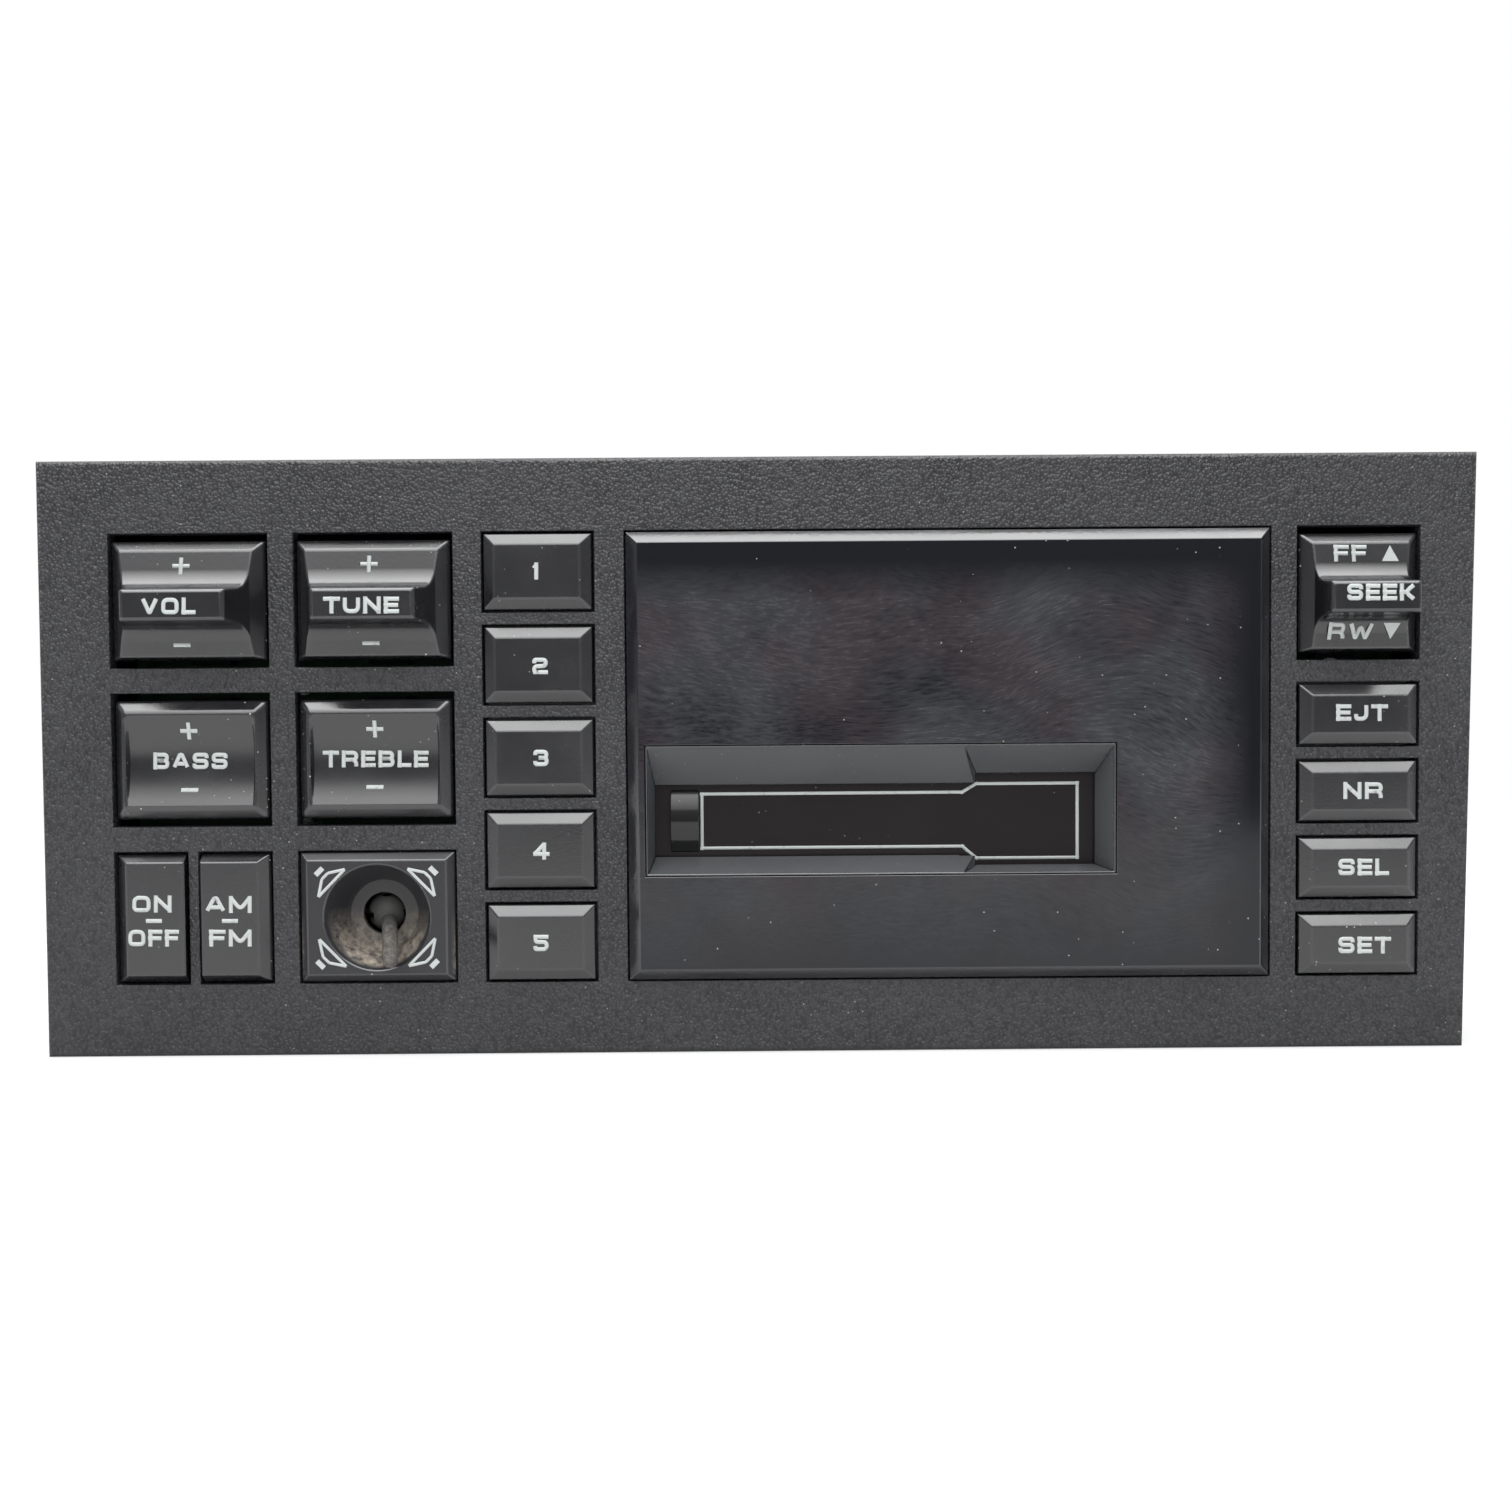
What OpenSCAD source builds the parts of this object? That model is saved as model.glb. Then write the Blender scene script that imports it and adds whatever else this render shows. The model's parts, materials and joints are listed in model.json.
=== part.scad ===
// Car cassette radio: a wide key-and-display nose on a slim steel chassis with a cassette deck inside.
// Millimetres. The face looks towards -Y, +Z is up, and the origin is under the middle of the unit.

/* [Face layout] */
// Margin from the left edge to the first key column
margin_left = 10.75; // [9.5:0.25:15]
// Margin from the last key column to the right edge, at the top
margin_right = 8.65; // [8:0.25:14]
// Margin above and below the key field
margin_z = 10.95; // [10.5:0.25:15]
// How far the right edge leans in towards the bottom
face_lean = 1.5; // [0:0.1:2]
// Width of a rocker opening
rocker_w = 23.7; // [22:0.1:27]
// Height of a rocker opening
rocker_h = 20; // [19:0.1:22]
// Gap between rocker rows
row_gap = 3.8; // [3.2:0.1:6]
// Gap between the two rocker columns
col_gap = 3.9; // [3.8:0.1:6]
// Gap between the rockers and the preset keys
preset_col_gap = 4.35; // [3.6:0.05:8]
// Width of a preset key opening
preset_w = 16.8; // [14:0.1:20]
// Gap between stacked keys
key_gap_z = 1.85; // [1.7:0.05:2.4]
// Gap between the preset keys and the display window
window_gap = 4.55; // [3.6:0.05:8]
// Width of the display window opening
window_w = 96.7; // [95:0.1:104]
// Gap between the window and the right-hand column
right_gap = 3.95; // [3.4:0.05:8]
// Width of the right-hand column
right_w = 18.35; // [17:0.05:22]
// Gap under the right-hand rocker
right_row_gap = 3.35; // [2.6:0.05:5]
// Gap between the two half-width keys
half_gap = 1.6; // [1.4:0.1:2.4]

/* [Faceplate] */
// Thickness of the front wall
face_wall = 3; // [2.8:0.1:3.4]
// Depth of the rim behind the face
rim_depth = 12; // [9:0.5:16]
// Thickness of the rim
rim_wall = 2.5; // [2:0.1:3]
// Radius of the screw posts
post_r = 2.6; // [2.2:0.1:2.8]

/* [Rockers] */
// Clearance at each side of a rocker
rocker_side_gap = 0.4; // [0.3:0.05:0.6]
// Clearance above and below a rocker, for its swing
rocker_end_gap = 1.1; // [1:0.05:1.5]
// How far a dished rocker's rim stands proud
dish_proud = 0.8; // [0.4:0.1:1.2]
// How far the ends of a paddled rocker's front stand proud
land_proud = 0.9; // [0.5:0.1:1.2]
// How much further out that front is beside its paddle
land_crown = 0.6; // [0.2:0.1:0.8]
// Height of the bevel above a paddled rocker's front
land_top_bevel = 1.4; // [0.8:0.1:1.8]
// Height of the bevel below a paddled rocker's front
land_low_bevel = 0.5; // [0.4:0.1:1.5]
// Depth of the dish in a rocker
dish_depth = 1.25; // [0.6:0.05:1.3]
// Depth of the rocker pivot behind the face
rocker_pivot_y = 6; // [5.5:0.1:6.5]
// Radius of the rocker trunnions
trunnion_r = 1.25; // [1:0.05:1.4]
// Swing of a rocker each way, in degrees
rocker_turn = 5; // [3:0.5:5]
// How far a paddle stands proud of the face
paddle_proud = 7.3; // [5:0.1:9]
// Height of a paddle's front
paddle_h = 4.6; // [3.6:0.1:6]
// Width of a paddle's front on the wide rockers
paddle_w = 15.1; // [12:0.1:17]
// Width of a paddle's front on the narrow rocker
narrow_paddle_w = 13.2; // [9:0.1:13.6]
// How far a paddle sits below the rocker's middle
paddle_drop = 1; // [0:0.1:1.5]

/* [Keys] */
// Clearance round a push key
key_gap = 0.35; // [0.3:0.05:0.5]
// Width of the bevel round a key
key_bevel = 1.65; // [1:0.05:2.2]
// How far a push key stands proud
key_proud = 1.2; // [0.6:0.1:2]
// How far the two tall keys stand proud
tall_proud = 0.9; // [0.6:0.1:1.6]
// Height of the bevel above and below a tall key's front
tall_bevel = 1.2; // [0.8:0.1:1.6]
// Travel of a push key
key_travel = 1.2; // [0.8:0.1:1.3]

/* [Fader] */
// Diameter of the fader bowl at its rim
bowl_d = 16; // [15:0.1:17]
// Diameter of the fader bowl's floor
bowl_floor_d = 10.3; // [10:0.1:11]
// Depth of the fader bowl
bowl_depth = 5.2; // [4.6:0.1:5.4]
// Length of the fader stick from its pivot
stick_len = 15; // [13:0.5:17]
// Diameter of the fader stick
stick_d = 2.3; // [1.8:0.1:2.4]
// How far the stick leans down, in degrees
stick_down = 25; // [0:1:25]
// How far the stick leans right, in degrees
stick_right = 12; // [0:1:16]

/* [Window and cassette slot] */
// How far the window stands proud of the face
lens_proud = 1.6; // [0.8:0.1:2.4]
// Depth that the window is let into the faceplate
lens_seat = 2; // [1.6:0.1:2.2]
// Width of the bevel round the window
lens_bevel = 1.7; // [1:0.1:2.2]
// Width of the slot
slot_w = 67.1; // [66:0.1:68]
// Height of the slot's thin part
slot_thin_h = 10.95; // [10:0.05:11.5]
// Height of the slot's thick part
slot_thick_h = 14; // [13:0.1:14.5]
// Width of the slot's thick part
slot_thick_w = 18.3; // [15:0.1:22]
// Distance from the window's left edge to the slot
slot_in = 4; // [3.8:0.1:8]
// Distance of the slot's middle below the face's middle
slot_drop = 10; // [9.6:0.1:10.4]
// Thickness of the cassette door
door_t = 1.6; // [1.2:0.1:1.8]

/* [Nose and chassis] */
// Depth of the nose housing's back behind the face
nose_depth = 28; // [27:0.5:34]
// Wall of the nose housing
nose_wall = 2; // [1.6:0.1:2.4]
// Width of the chassis with its cover
chassis_w = 178; // [174:1:180]
// Height of the chassis with its cover
chassis_h = 50; // [49:0.5:51]
// Length of the chassis behind the nose
chassis_len = 122; // [120:1:140]
// Sheet thickness of the chassis
sheet_t = 1; // [0.8:0.1:1.2]
// Spacing of the side bolt holes
side_hole_pitch = 50; // [40:1:60]
// Radius of the side bolt holes
side_hole_r = 2.5; // [2:0.1:3]
// Length of the rear support stud
stud_len = 15; // [14:0.5:24]
// Radius of the rear support stud
stud_r = 2.5; // [2:0.1:3]
// Bore radius of the aerial socket
aerial_r = 4.5; // [4:0.1:5]
// Height of the heat sink's fins
fin_h = 10; // [6:0.5:12]

/* [Deck] */
// Inner width of the cassette carrier
bay_w = 65; // [64.4:0.1:66]
// Inner height of the cassette carrier
bay_h = 13.2; // [12.8:0.1:13.4]
// Inner length of the cassette carrier
bay_len = 101; // [100.8:0.1:102]
// Drop of the carrier onto the spindles
carrier_drop = 6; // [4:0.5:6]
// Radius of the flywheel
flywheel_r = 18; // [15:0.5:18]
// Radius of the motor pulley
pulley_r = 4; // [3:0.5:6]
// Radius of the pinch roller
pinch_r = 5.5; // [4.5:0.1:5.5]

/* [Hidden] */
$fn = 48;

// Clearances
run_gap = 0.05;
fit_gap = 0.2;
seat_gap = 0.3;
eps = 0.01;
// How far a joined feature reaches into its neighbour, and how far a cut runs past a face
embed = 0.5;
over = 1;
// Length of a drill through a sheet, and through everything on the deck plate
through = 4;
deep = 12;

// Key field, in the face's own frame: y = 0 on the face, z = 0 at its middle
panel_h = 3 * rocker_h + 2 * row_gap;
face_h = panel_h + 2 * margin_z;
face_w = margin_left + 2 * rocker_w + col_gap + preset_col_gap + preset_w + window_gap
    + window_w + right_gap + right_w + margin_right;
col_a = -face_w / 2 + margin_left + rocker_w / 2;
col_b = col_a + rocker_w + col_gap;
col_p = col_b + rocker_w / 2 + preset_col_gap + preset_w / 2;
col_w = col_p + preset_w / 2 + window_gap + window_w / 2;
col_r = col_w + window_w / 2 + right_gap + right_w / 2;
row_z = rocker_h + row_gap;
half_w = (rocker_w - half_gap) / 2;
half_x = (half_w + half_gap) / 2;
preset_h = (panel_h - 4 * key_gap_z) / 5;
side_key_h = (panel_h - rocker_h - right_row_gap - 3 * key_gap_z) / 4;

function preset_z(i) = panel_h / 2 - preset_h / 2 - i * (preset_h + key_gap_z);
function side_key_z(i) = panel_h / 2 - rocker_h - right_row_gap - side_key_h / 2
    - i * (side_key_h + key_gap_z);

// Rockers: x, z, opening width, paddle width or 0 for a dish
ROCKERS = [
    [col_a, row_z, rocker_w, paddle_w], [col_b, row_z, rocker_w, paddle_w],
    [col_a, 0, rocker_w, 0], [col_b, 0, rocker_w, 0],
    [col_r, row_z, right_w, narrow_paddle_w]
];
// Push keys: x, z, opening width, opening height, proud, and the side of its neighbour in a pair or 0
KEYS = concat(
    [for (s = [-1, 1]) [col_a + s * half_x, -row_z, half_w, rocker_h, tall_proud, -s]],
    [for (i = [0:4]) [col_p, preset_z(i), preset_w, preset_h, key_proud, 0]],
    [for (i = [0:3]) [col_r, side_key_z(i), right_w, side_key_h, key_proud, 0]]
);
ROCKER_NAMES = ["volume_rocker", "tuning_rocker", "bass_rocker", "treble_rocker", "seek_rocker"];
KEY_NAMES = [
    "power_key", "band_key",
    "preset_key_1", "preset_key_2", "preset_key_3", "preset_key_4", "preset_key_5",
    "eject_key", "noise_key", "select_key", "set_key"
];

// Keys and rockers in depth
cap_edge = 0.6;
dish_margin = 0.3;
bevel_slope = 0.7;
cap_back = 3.2;
flange_t = 1;
flange_over = 0.6;
cheek_t = 2;
lug_t = 1.6;
lug_gap = 0.2;
lug_half = 2.4;
board_y = 13;
board_t = 1.6;
switch_size = 6;
switch_h = 3.5;
plunger_r = 1.7;
plunger_h = 0.8;
plunger_y = board_y - switch_h - plunger_h;
stem_r = 2;
stem_gap = 0.1;
stem_end = plunger_y - key_travel - stem_gap;
leg_z = 6.4;
leg_size = 2.6;
leg_end = plunger_y - leg_z * sin(rocker_turn) - seat_gap;
paddle_draft = 0.7;
paddle_round = 0.6;
paddle_fillet = 2;
paddle_root = 0.6;
paddle_reach = paddle_h / 2 + paddle_draft + paddle_fillet;
land_slope = cap_edge + land_proud + land_crown;
pair_round = 0.15;
sensor_size = 11;
sensor_h = 0.8;

// Screws
screw_r = 1.1;
screw_head_r = 2.2;
screw_head_h = 1.3;
screw_grip = 6;

// Nose housing
nose_set_back = 2;
nose_front = face_wall + nose_set_back;
nose_inset = rim_wall + fit_gap;
post_x = face_w / 2 - nose_inset - nose_wall - post_r - face_lean - fit_gap;
post_z = face_h / 2 - nose_inset - nose_wall - post_r - fit_gap;
nose_back = nose_depth - nose_wall;
board_post_r = 2.4;
way_side = 5;
way_half = slot_w / 2 + way_side;
way_margin = 2;

// Key boards: how far they reach past the keys, and where they are screwed down
board_edge = 1;
LEFT_POSTS = [
    for (x = [(col_a + col_b) / 2, col_b + (rocker_w + preset_col_gap) / 2], s = [-1, 1])
        [x, s * row_z / 2]
];
RIGHT_POSTS = [
    [col_r, panel_h / 2 - rocker_h - right_row_gap / 2],
    [col_r, (side_key_z(2) + side_key_z(3)) / 2]
];

// Chassis
chassis_up = 3.25;
chassis_z0 = -face_h / 2 + chassis_up;
cover_t = 0.8;
lip_gap = 0.1;
lip_h = 6;
tray_half = chassis_w / 2 - cover_t - lip_gap;
tray_top = chassis_z0 + chassis_h - cover_t;
chassis_y1 = nose_depth + chassis_len;
panel_t = 1.2;
rear_y = chassis_y1 + panel_t;
tab_w = 8;
tab_h = 34;
tab_hole_z = 12;
SIDE_HOLES = [for (s = [-1, 1]) nose_depth + chassis_len / 2 + s * side_hole_pitch / 2];
cover_screw_in = 12;
cover_screw_y = [nose_depth + cover_screw_in, chassis_y1 - cover_screw_in];
foot_r = 3;
foot_in = 14;
foot_side = 10;
BOARD_FEET = [
    for (s = [-1, 1], y = [nose_depth + foot_in, chassis_y1 - foot_in]) [s * (tray_half - foot_side), y]
];
vent_w = 2.4;
vent_len = 16;
vent_pitch = 8;
vent_row_pitch = 22;
vent_x0 = -70;
vent_back = 44;

// Window, slot and door
lens_gap = 0.2;
ledge = 2.2;
slot_x = col_w - window_w / 2 + slot_in + slot_w / 2;
slot_z = -slot_drop;
slot_step = 2.3;
funnel_left = 0.8;
funnel_right = 1.8;
funnel_top = 5.9;
funnel_bottom = 2.1;
rim_land = 0.25;
rim_gap = 0.1;
throat_y = face_wall + fit_gap;
surround_t = 0.8;
surround_back = throat_y + surround_t;
surround_flange = 2.2;
door_gap = 0.25;
door_y = surround_back + door_gap;
door_lap = 0.7;
door_pivot_in = 2.75;
door_pivot_up = 3.9;
door_pivot_y = door_y + door_pivot_in;
door_pivot_z = slot_z + slot_thick_h / 2 + door_pivot_up;
ear_t = 1.5;
ear_r = 2.2;
pin_r = 1;
// Ears on the door at each end of the slot, and the lugs that hold the pin outside them
ear_x = [for (s = [-1, 1]) slot_x + s * (slot_w / 2 + door_lap - ear_t / 2)];
pin_lug_x = [for (i = [0, 1]) ear_x[i] + (2 * i - 1) * (ear_t + seat_gap)];
indicator_w = 4.3;
indicator_h = 9.7;
indicator_proud = 1.5;
indicator_inset = 2.4;
spring_wire_r = 0.25;
spring_r = 1.6;
spring_turns = 5;
spring_len = 5;
spring_steps = 12;
spring_sides = 6;

// Display
display_w = 84;
display_h = 24;
display_below = 1.6;
display_top = panel_h / 2 - ledge - display_below;
display_frame = 4;
display_step = 0.6;
display_board_y = 8.6;
display_board_w = 92;
display_board_lip = 0.4;
display_post_in = 5;
display_post_up = 3.2;
DISPLAY_POSTS = [
    for (s = [-1, 1]) [col_w + s * (display_board_w / 2 - display_post_in), display_top + display_post_up]
];

// Fader
floor_t = 1;
bowl_wall = 1.2;
cover_proud = 0.8;
cover_bevel = 1.2;
floor_y = bowl_depth - cover_proud;
pivot_under = 3;
fader_y = floor_y + pivot_under;
fader_ball_r = 3.1;
fader_hole_r = 3.25;
bar_r = 0.9;
bar_half = 6;
spider_r = 0.7;
fader_lug_x = 4.6;
fader_lug_t = 1.6;
fader_lug_rim = 1;
stick_tail = 4.4;
stick_tip_grow = 0.04;
spider_short = 0.4;
flare_reach = 1.2;
flare_slope = 0.8;

// Deck
deck_x = slot_x;
bay_y0 = nose_depth - 1;
bay_y1 = bay_y0 + bay_len;
carrier_t = 0.8;
carrier_z0 = slot_z - bay_h / 2;
carrier_z1 = slot_z + bay_h / 2;
rail_w = 4.2;
hook_front = 18;
hook_back = 20;
deck_t = 1.5;
deck_clear = 1.3;
deck_z = carrier_z0 - carrier_t - carrier_drop - deck_clear;
deck_left = 70;
deck_right = 56;
deck_in = 5;
deck_out = 4;
deck_y0 = bay_y0 + deck_in;
deck_y1 = bay_y1 + deck_out;
guide_r = 1.5;
guide_out = 3.9;
guide_ear = 5.4;
guide_ear_h = 3;
// Guide posts: side of the carrier, distance along it
GUIDES = [[-1, 26], [-1, 80], [1, 9], [1, 92]];
function guide_pos(g) = [deck_x + g[0] * (bay_w / 2 + carrier_t + guide_out), bay_y0 + g[1]];
standoff_r = 2.6;
standoff_gap = 0.5;
standoff_in = 5;
STANDOFFS = [
    for (x = [deck_x - deck_left + standoff_in, deck_x + deck_right - standoff_in],
        y = [deck_y0 + standoff_in, deck_y1 - standoff_in]) [x, y]
];
hub_pitch = 42.5;
hub_from_edge = 29.7;
cassette_w = 63.8;
cassette_mid_y = bay_y0 + bay_len / 2;
hub_x = deck_x + cassette_w / 2 - hub_from_edge;
spindle_top = carrier_z0 - carrier_t;
capstan_from_edge = 8.6;
capstan_along = 23.9;
capstan_x = deck_x + cassette_w / 2 - capstan_from_edge;
capstan_y = cassette_mid_y + capstan_along;
capstan_r = 1;
capstan_end = 0.6;
bearing_wall = 1.6;
reel_shaft_r = 1.5;
reel_shaft_out = 1.2;
reel_table_r = 8.5;
reel_table_t = 0.9;
reel_hub_r = 2.6;
reel_tooth_r = 4;
reel_tooth_t = 1;
reel_tip = 0.8;
flywheel_h = 4;
flywheel_gap = 1;
flywheel_rim = 3;
flywheel_hub_r = 4;
flywheel_dish = 1.5;
flywheel_z1 = deck_z - deck_t - flywheel_gap;
motor_r = 13;
motor_h = 21;
motor_shaft_r = 1;
motor_shaft_in = 6;
motor_left = 54;
motor_back = 11;
motor_x = deck_x - motor_left;
motor_y = capstan_y + motor_back;
belt_t = 1.2;
belt_h = 1.6;
belt_gap = 0.15;
belt_z = flywheel_z1 - flywheel_h / 2 - belt_h / 2;
slide_z = deck_z + seat_gap;
slide_t = 1;
slide_clear = 3.6;
slide_x0 = deck_x + bay_w / 2 + slide_clear;
slide_w = 18;
slide_ahead = 16;
slide_y0 = cassette_mid_y - slide_ahead;
slide_y1 = capstan_y + pinch_r + embed;
slide_pin_r = 1.2;
slide_pin_h = 2.5;
slide_pin_in = 3;
slide_pin_end = 5;
slide_pin_back = 22;
SLIDE_PINS = [for (y = [slide_y0 + slide_pin_end, slide_y1 - slide_pin_back]) [slide_x0 + slide_pin_in, y]];
pinch_x = slide_x0 + pinch_r + seat_gap;
head_travel = pinch_x - capstan_x - pinch_r - capstan_r - seat_gap;
head_w = 12;
head_d = 8;
head_h = 9;
head_base_h = 3;
head_step = 1.5;
head_nose = 0.6;
pinch_axle_r = 1;
pinch_collar = 1.2;
bearing_h = seat_gap + slide_t + pinch_collar;
pinch_collar_wall = 1;
pinch_h = 7;
board_stand = 2.9;
board_z = chassis_z0 + board_stand;
main_board_t = 1.6;
board_top = board_z + main_board_t;
board_margin = 2;
board_front = 5;
board_back = 1.5;
tuner_side = 6;
tuner_w = 24;
tuner_x = -tray_half + tuner_side + tuner_w / 2;
tuner_in = 20;
tuner_y0 = nose_depth + tuner_in;
tuner_len = 54;
tuner_h = 10;
// Capacitors: side of the case, distance in from it, distance from the back, radius, height
CAPACITORS = [
    [-1, 20, 40, 6, 20], [-1, 20, 26, 6, 20], [-1, 14, 13, 4, 14],
    [1, 9, 12, 5, 16], [1, 22, 12, 5, 16], [1, 9, 86, 4, 9]
];
choke_x = -22;
choke_back = 10;
choke_y = chassis_y1 - choke_back;
choke_w = 16;
choke_d = 14;
choke_plate = 4;
choke_coil_r = 5.5;
choke_coil_h = 8;

// Rear
sink_w = 78;
sink_h = 38;
sink_base = 3;
fin_t = 1.6;
fin_pitch = 5.2;
sink_side = 4;
sink_x = -tray_half + sink_side + sink_w / 2;
rear_mid_z = chassis_z0 + (chassis_h - cover_t) / 2;
upper_row = 10;
lower_row = 11;
amp_w = 24;
amp_h = 14;
amp_t = 4.5;
amp_leg_pitch = 2;
amp_leg_half = 0.3;
aerial_side = 20;
aerial_x = tray_half - aerial_side;
aerial_z = rear_mid_z + upper_row;
aerial_wall = 1.8;
aerial_in = 3;
aerial_flange = 2;
aerial_flange_t = 1.5;
aerial_len = 13;
plug_side = 50;
plug_x = tray_half - plug_side;
plug_z = rear_mid_z - lower_row;
plug_w = 36;
plug_h = 16;
plug_len = 12;
plug_wall = 1.6;
plug_in = 5;
plug_floor = 3;
plug_flange = 2;
plug_flange_t = 1.2;
blade_w = 2.4;
blade_t = 0.8;
blade_pitch = 6.3;
blade_row = 4.4;
fuse_x = aerial_x;
fuse_w = 14;
fuse_h = 8;
fuse_in = 6;
fuse_out = 2;
fuse_cap_w = 18;
fuse_cap_h = 4.4;
fuse_cap_len = 5;
stud_x = 15;
stud_z = rear_mid_z + upper_row;
stud_head = 2;
stud_head_h = 3;
nut_r = 4.6;
nut_h = 4;

// The whole unit: the front is a paddle's face and the back is the stud's end
front_y = -paddle_proud;
back_y = rear_y + stud_len;
frame_y = -(front_y + back_y) / 2;
frame_z = face_h / 2;

// A 2D shape in (x, z) drawn out along Y from y0 to y1
module along_y(y0, y1) translate([0, y1, 0]) rotate([90, 0, 0]) linear_extrude(y1 - y0) children();

// A 2D shape in (z, y) drawn out along X, centred
module along_x(len) rotate([0, -90, 0]) linear_extrude(len, center = true) children();

module rod_y(r, y0, y1) translate([0, y0, 0]) rotate([-90, 0, 0]) cylinder(r = r, h = y1 - y0);

module rod_x(r, x0, x1) translate([x0, 0, 0]) rotate([0, 90, 0]) cylinder(r = r, h = x1 - x0);

// A box from its low corner to its high corner
module block(a, b) translate(a) cube(b - a);

// A box centred in x and z that runs from y0 to y1
module bar_y(w, h, y0, y1) block([-w / 2, y0, -h / 2], [w / 2, y1, h / 2]);

// A cap whose front is smaller than its body by a bevel all round
module bevel_block(w, h, front, edge, back, bevel) {
    function side(half) = [[-half, back], [-half, edge], [-half + bevel, front],
        [half - bevel, front], [half, edge], [half, back]];
    intersection() {
        linear_extrude(h, center = true) polygon(side(w / 2));
        along_x(w) polygon(side(h / 2));
    }
}

module face_outline(inset) {
    x1 = face_w / 2 - inset;
    z1 = face_h / 2 - inset;
    polygon([[-x1, z1], [x1, z1], [x1 - face_lean, -z1], [-x1, -z1]]);
}

module slot_outline(grow) {
    x1 = slot_w / 2 + grow;
    thin = slot_thin_h / 2 + grow;
    thick = slot_thick_h / 2 + grow;
    xt = slot_w / 2 - slot_thick_w - grow;
    xs = xt - slot_step;
    polygon([[-x1, thin], [xs, thin], [xt, thick], [x1, thick],
        [x1, -thick], [xt, -thick], [xs, -thin], [-x1, -thin]]);
}

// The rectangle where the slot's funnel meets the window, grown by an edge
module funnel_rect(grow) {
    translate([-slot_w / 2 - funnel_left - grow, -slot_thin_h / 2 - funnel_bottom - grow])
        square([slot_w + funnel_left + funnel_right + 2 * grow,
            slot_thin_h + funnel_top + funnel_bottom + 2 * grow]);
}

// A funnel from the window's front to a rectangle of the slot: x ranges front and back, half height
module funnel(front_x, back_x, half) {
    y0 = -lens_proud;
    top = slot_thin_h / 2 + funnel_top;
    bottom = -slot_thin_h / 2 - funnel_bottom;
    intersection() {
        linear_extrude(4 * slot_thick_h, center = true)
            polygon([[front_x[0], y0 - over], [front_x[0], y0], [back_x[0], throat_y],
                [back_x[1], throat_y], [front_x[1], y0], [front_x[1], y0 - over]]);
        along_x(4 * slot_w)
            polygon([[top, y0 - over], [top, y0], [half, throat_y],
                [-half, throat_y], [bottom, y0], [bottom, y0 - over]]);
    }
}

module at_slot() translate([slot_x, 0, slot_z]) children();

module at_door_pivot() translate([0, door_pivot_y, door_pivot_z]) children();

module nose_posts(r, y0, y1)
    for (sx = [-1, 1], sz = [-1, 1]) translate([sx * post_x, 0, sz * post_z]) rod_y(r, y0, y1);

// Faceplate with its key openings, rocker lugs and screw posts
module front_bezel() color("#2b2b2d") difference() {
    union() {
        difference() {
            along_y(0, rim_depth) face_outline(0);
            along_y(face_wall, rim_depth + over) face_outline(rim_wall);
        }
        for (k = ROCKERS, s = [-1, 1])
            translate([k[0] + s * (k[2] / 2 + lug_gap + lug_t / 2), 0, k[1]])
                bar_y(lug_t, 2 * lug_half, face_wall - embed, rocker_pivot_y + lug_half);
        nose_posts(post_r, face_wall - embed, nose_back);
    }
    for (k = ROCKERS) translate([k[0], 0, k[1]]) {
        bar_y(k[2], rocker_h, -over, face_wall + eps);
        reach = k[2] / 2 + lug_gap + lug_t + eps;
        translate([0, rocker_pivot_y, 0]) rod_x(trunnion_r + run_gap, -reach, reach);
    }
    for (k = KEYS) translate([k[0], 0, k[1]]) bar_y(k[2], k[3], -over, face_wall + eps);
    translate([col_b, 0, -row_z]) bar_y(rocker_w, rocker_h, -over, face_wall + eps);
    translate([col_w, 0, 0]) {
        bar_y(window_w, panel_h, -over, lens_seat);
        bar_y(window_w - 2 * ledge, panel_h - 2 * ledge, -over, face_wall + eps);
    }
    nose_posts(screw_r, nose_back - screw_grip - over, nose_back + eps);
}

// Smoked window over the display, with the cut-out for the cassette slot
module display_window() color("#141317") difference() {
    translate([col_w, 0, 0])
        bevel_block(window_w - 2 * lens_gap, panel_h - 2 * lens_gap, -lens_proud, 0, lens_seat, lens_bevel);
    at_slot() along_y(-lens_proud - over, lens_seat + over) funnel_rect(rim_land + rim_gap);
}

// Moulded funnel round the slot, with the lugs for the door's pin
module cassette_surround() color("#4b4d4d") difference() {
    union() {
        at_slot() along_y(-lens_proud, surround_back) funnel_rect(rim_land);
        at_slot() along_y(throat_y, surround_back) funnel_rect(surround_flange);
        for (x = pin_lug_x) translate([x, 0, door_pivot_z])
            bar_y(ear_t, 2 * ear_r, throat_y, door_pivot_y + ear_r);
    }
    at_slot() {
        funnel([-slot_w / 2 - funnel_left, slot_w / 2 + funnel_right], [-slot_w / 2, slot_w / 2],
            slot_thin_h / 2);
        funnel([slot_w / 2 - slot_thick_w - slot_step, slot_w / 2 + funnel_right],
            [slot_w / 2 - slot_thick_w, slot_w / 2], slot_thick_h / 2);
        along_y(throat_y - eps, surround_back + over) slot_outline(0);
    }
    at_door_pivot() rod_x(pin_r + run_gap, -face_w, face_w);
}

// Door that swings in behind the slot
module cassette_door() color("#26272a") difference() {
    ear_half = ear_r - fit_gap;
    union() {
        at_slot() along_y(door_y, door_y + door_t) slot_outline(door_lap);
        for (x = ear_x) translate([x, 0, 0]) {
            along_x(ear_t) polygon([[slot_z, door_y], [slot_z, door_y + door_t],
                [door_pivot_z, door_pivot_y + ear_half], [door_pivot_z, door_pivot_y - ear_half],
                [slot_z + slot_thin_h / 2, door_y]]);
            at_door_pivot() rod_x(ear_r, -ear_t / 2, ear_t / 2);
        }
    }
    at_door_pivot() rod_x(pin_r + run_gap, -face_w, face_w);
}

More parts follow.
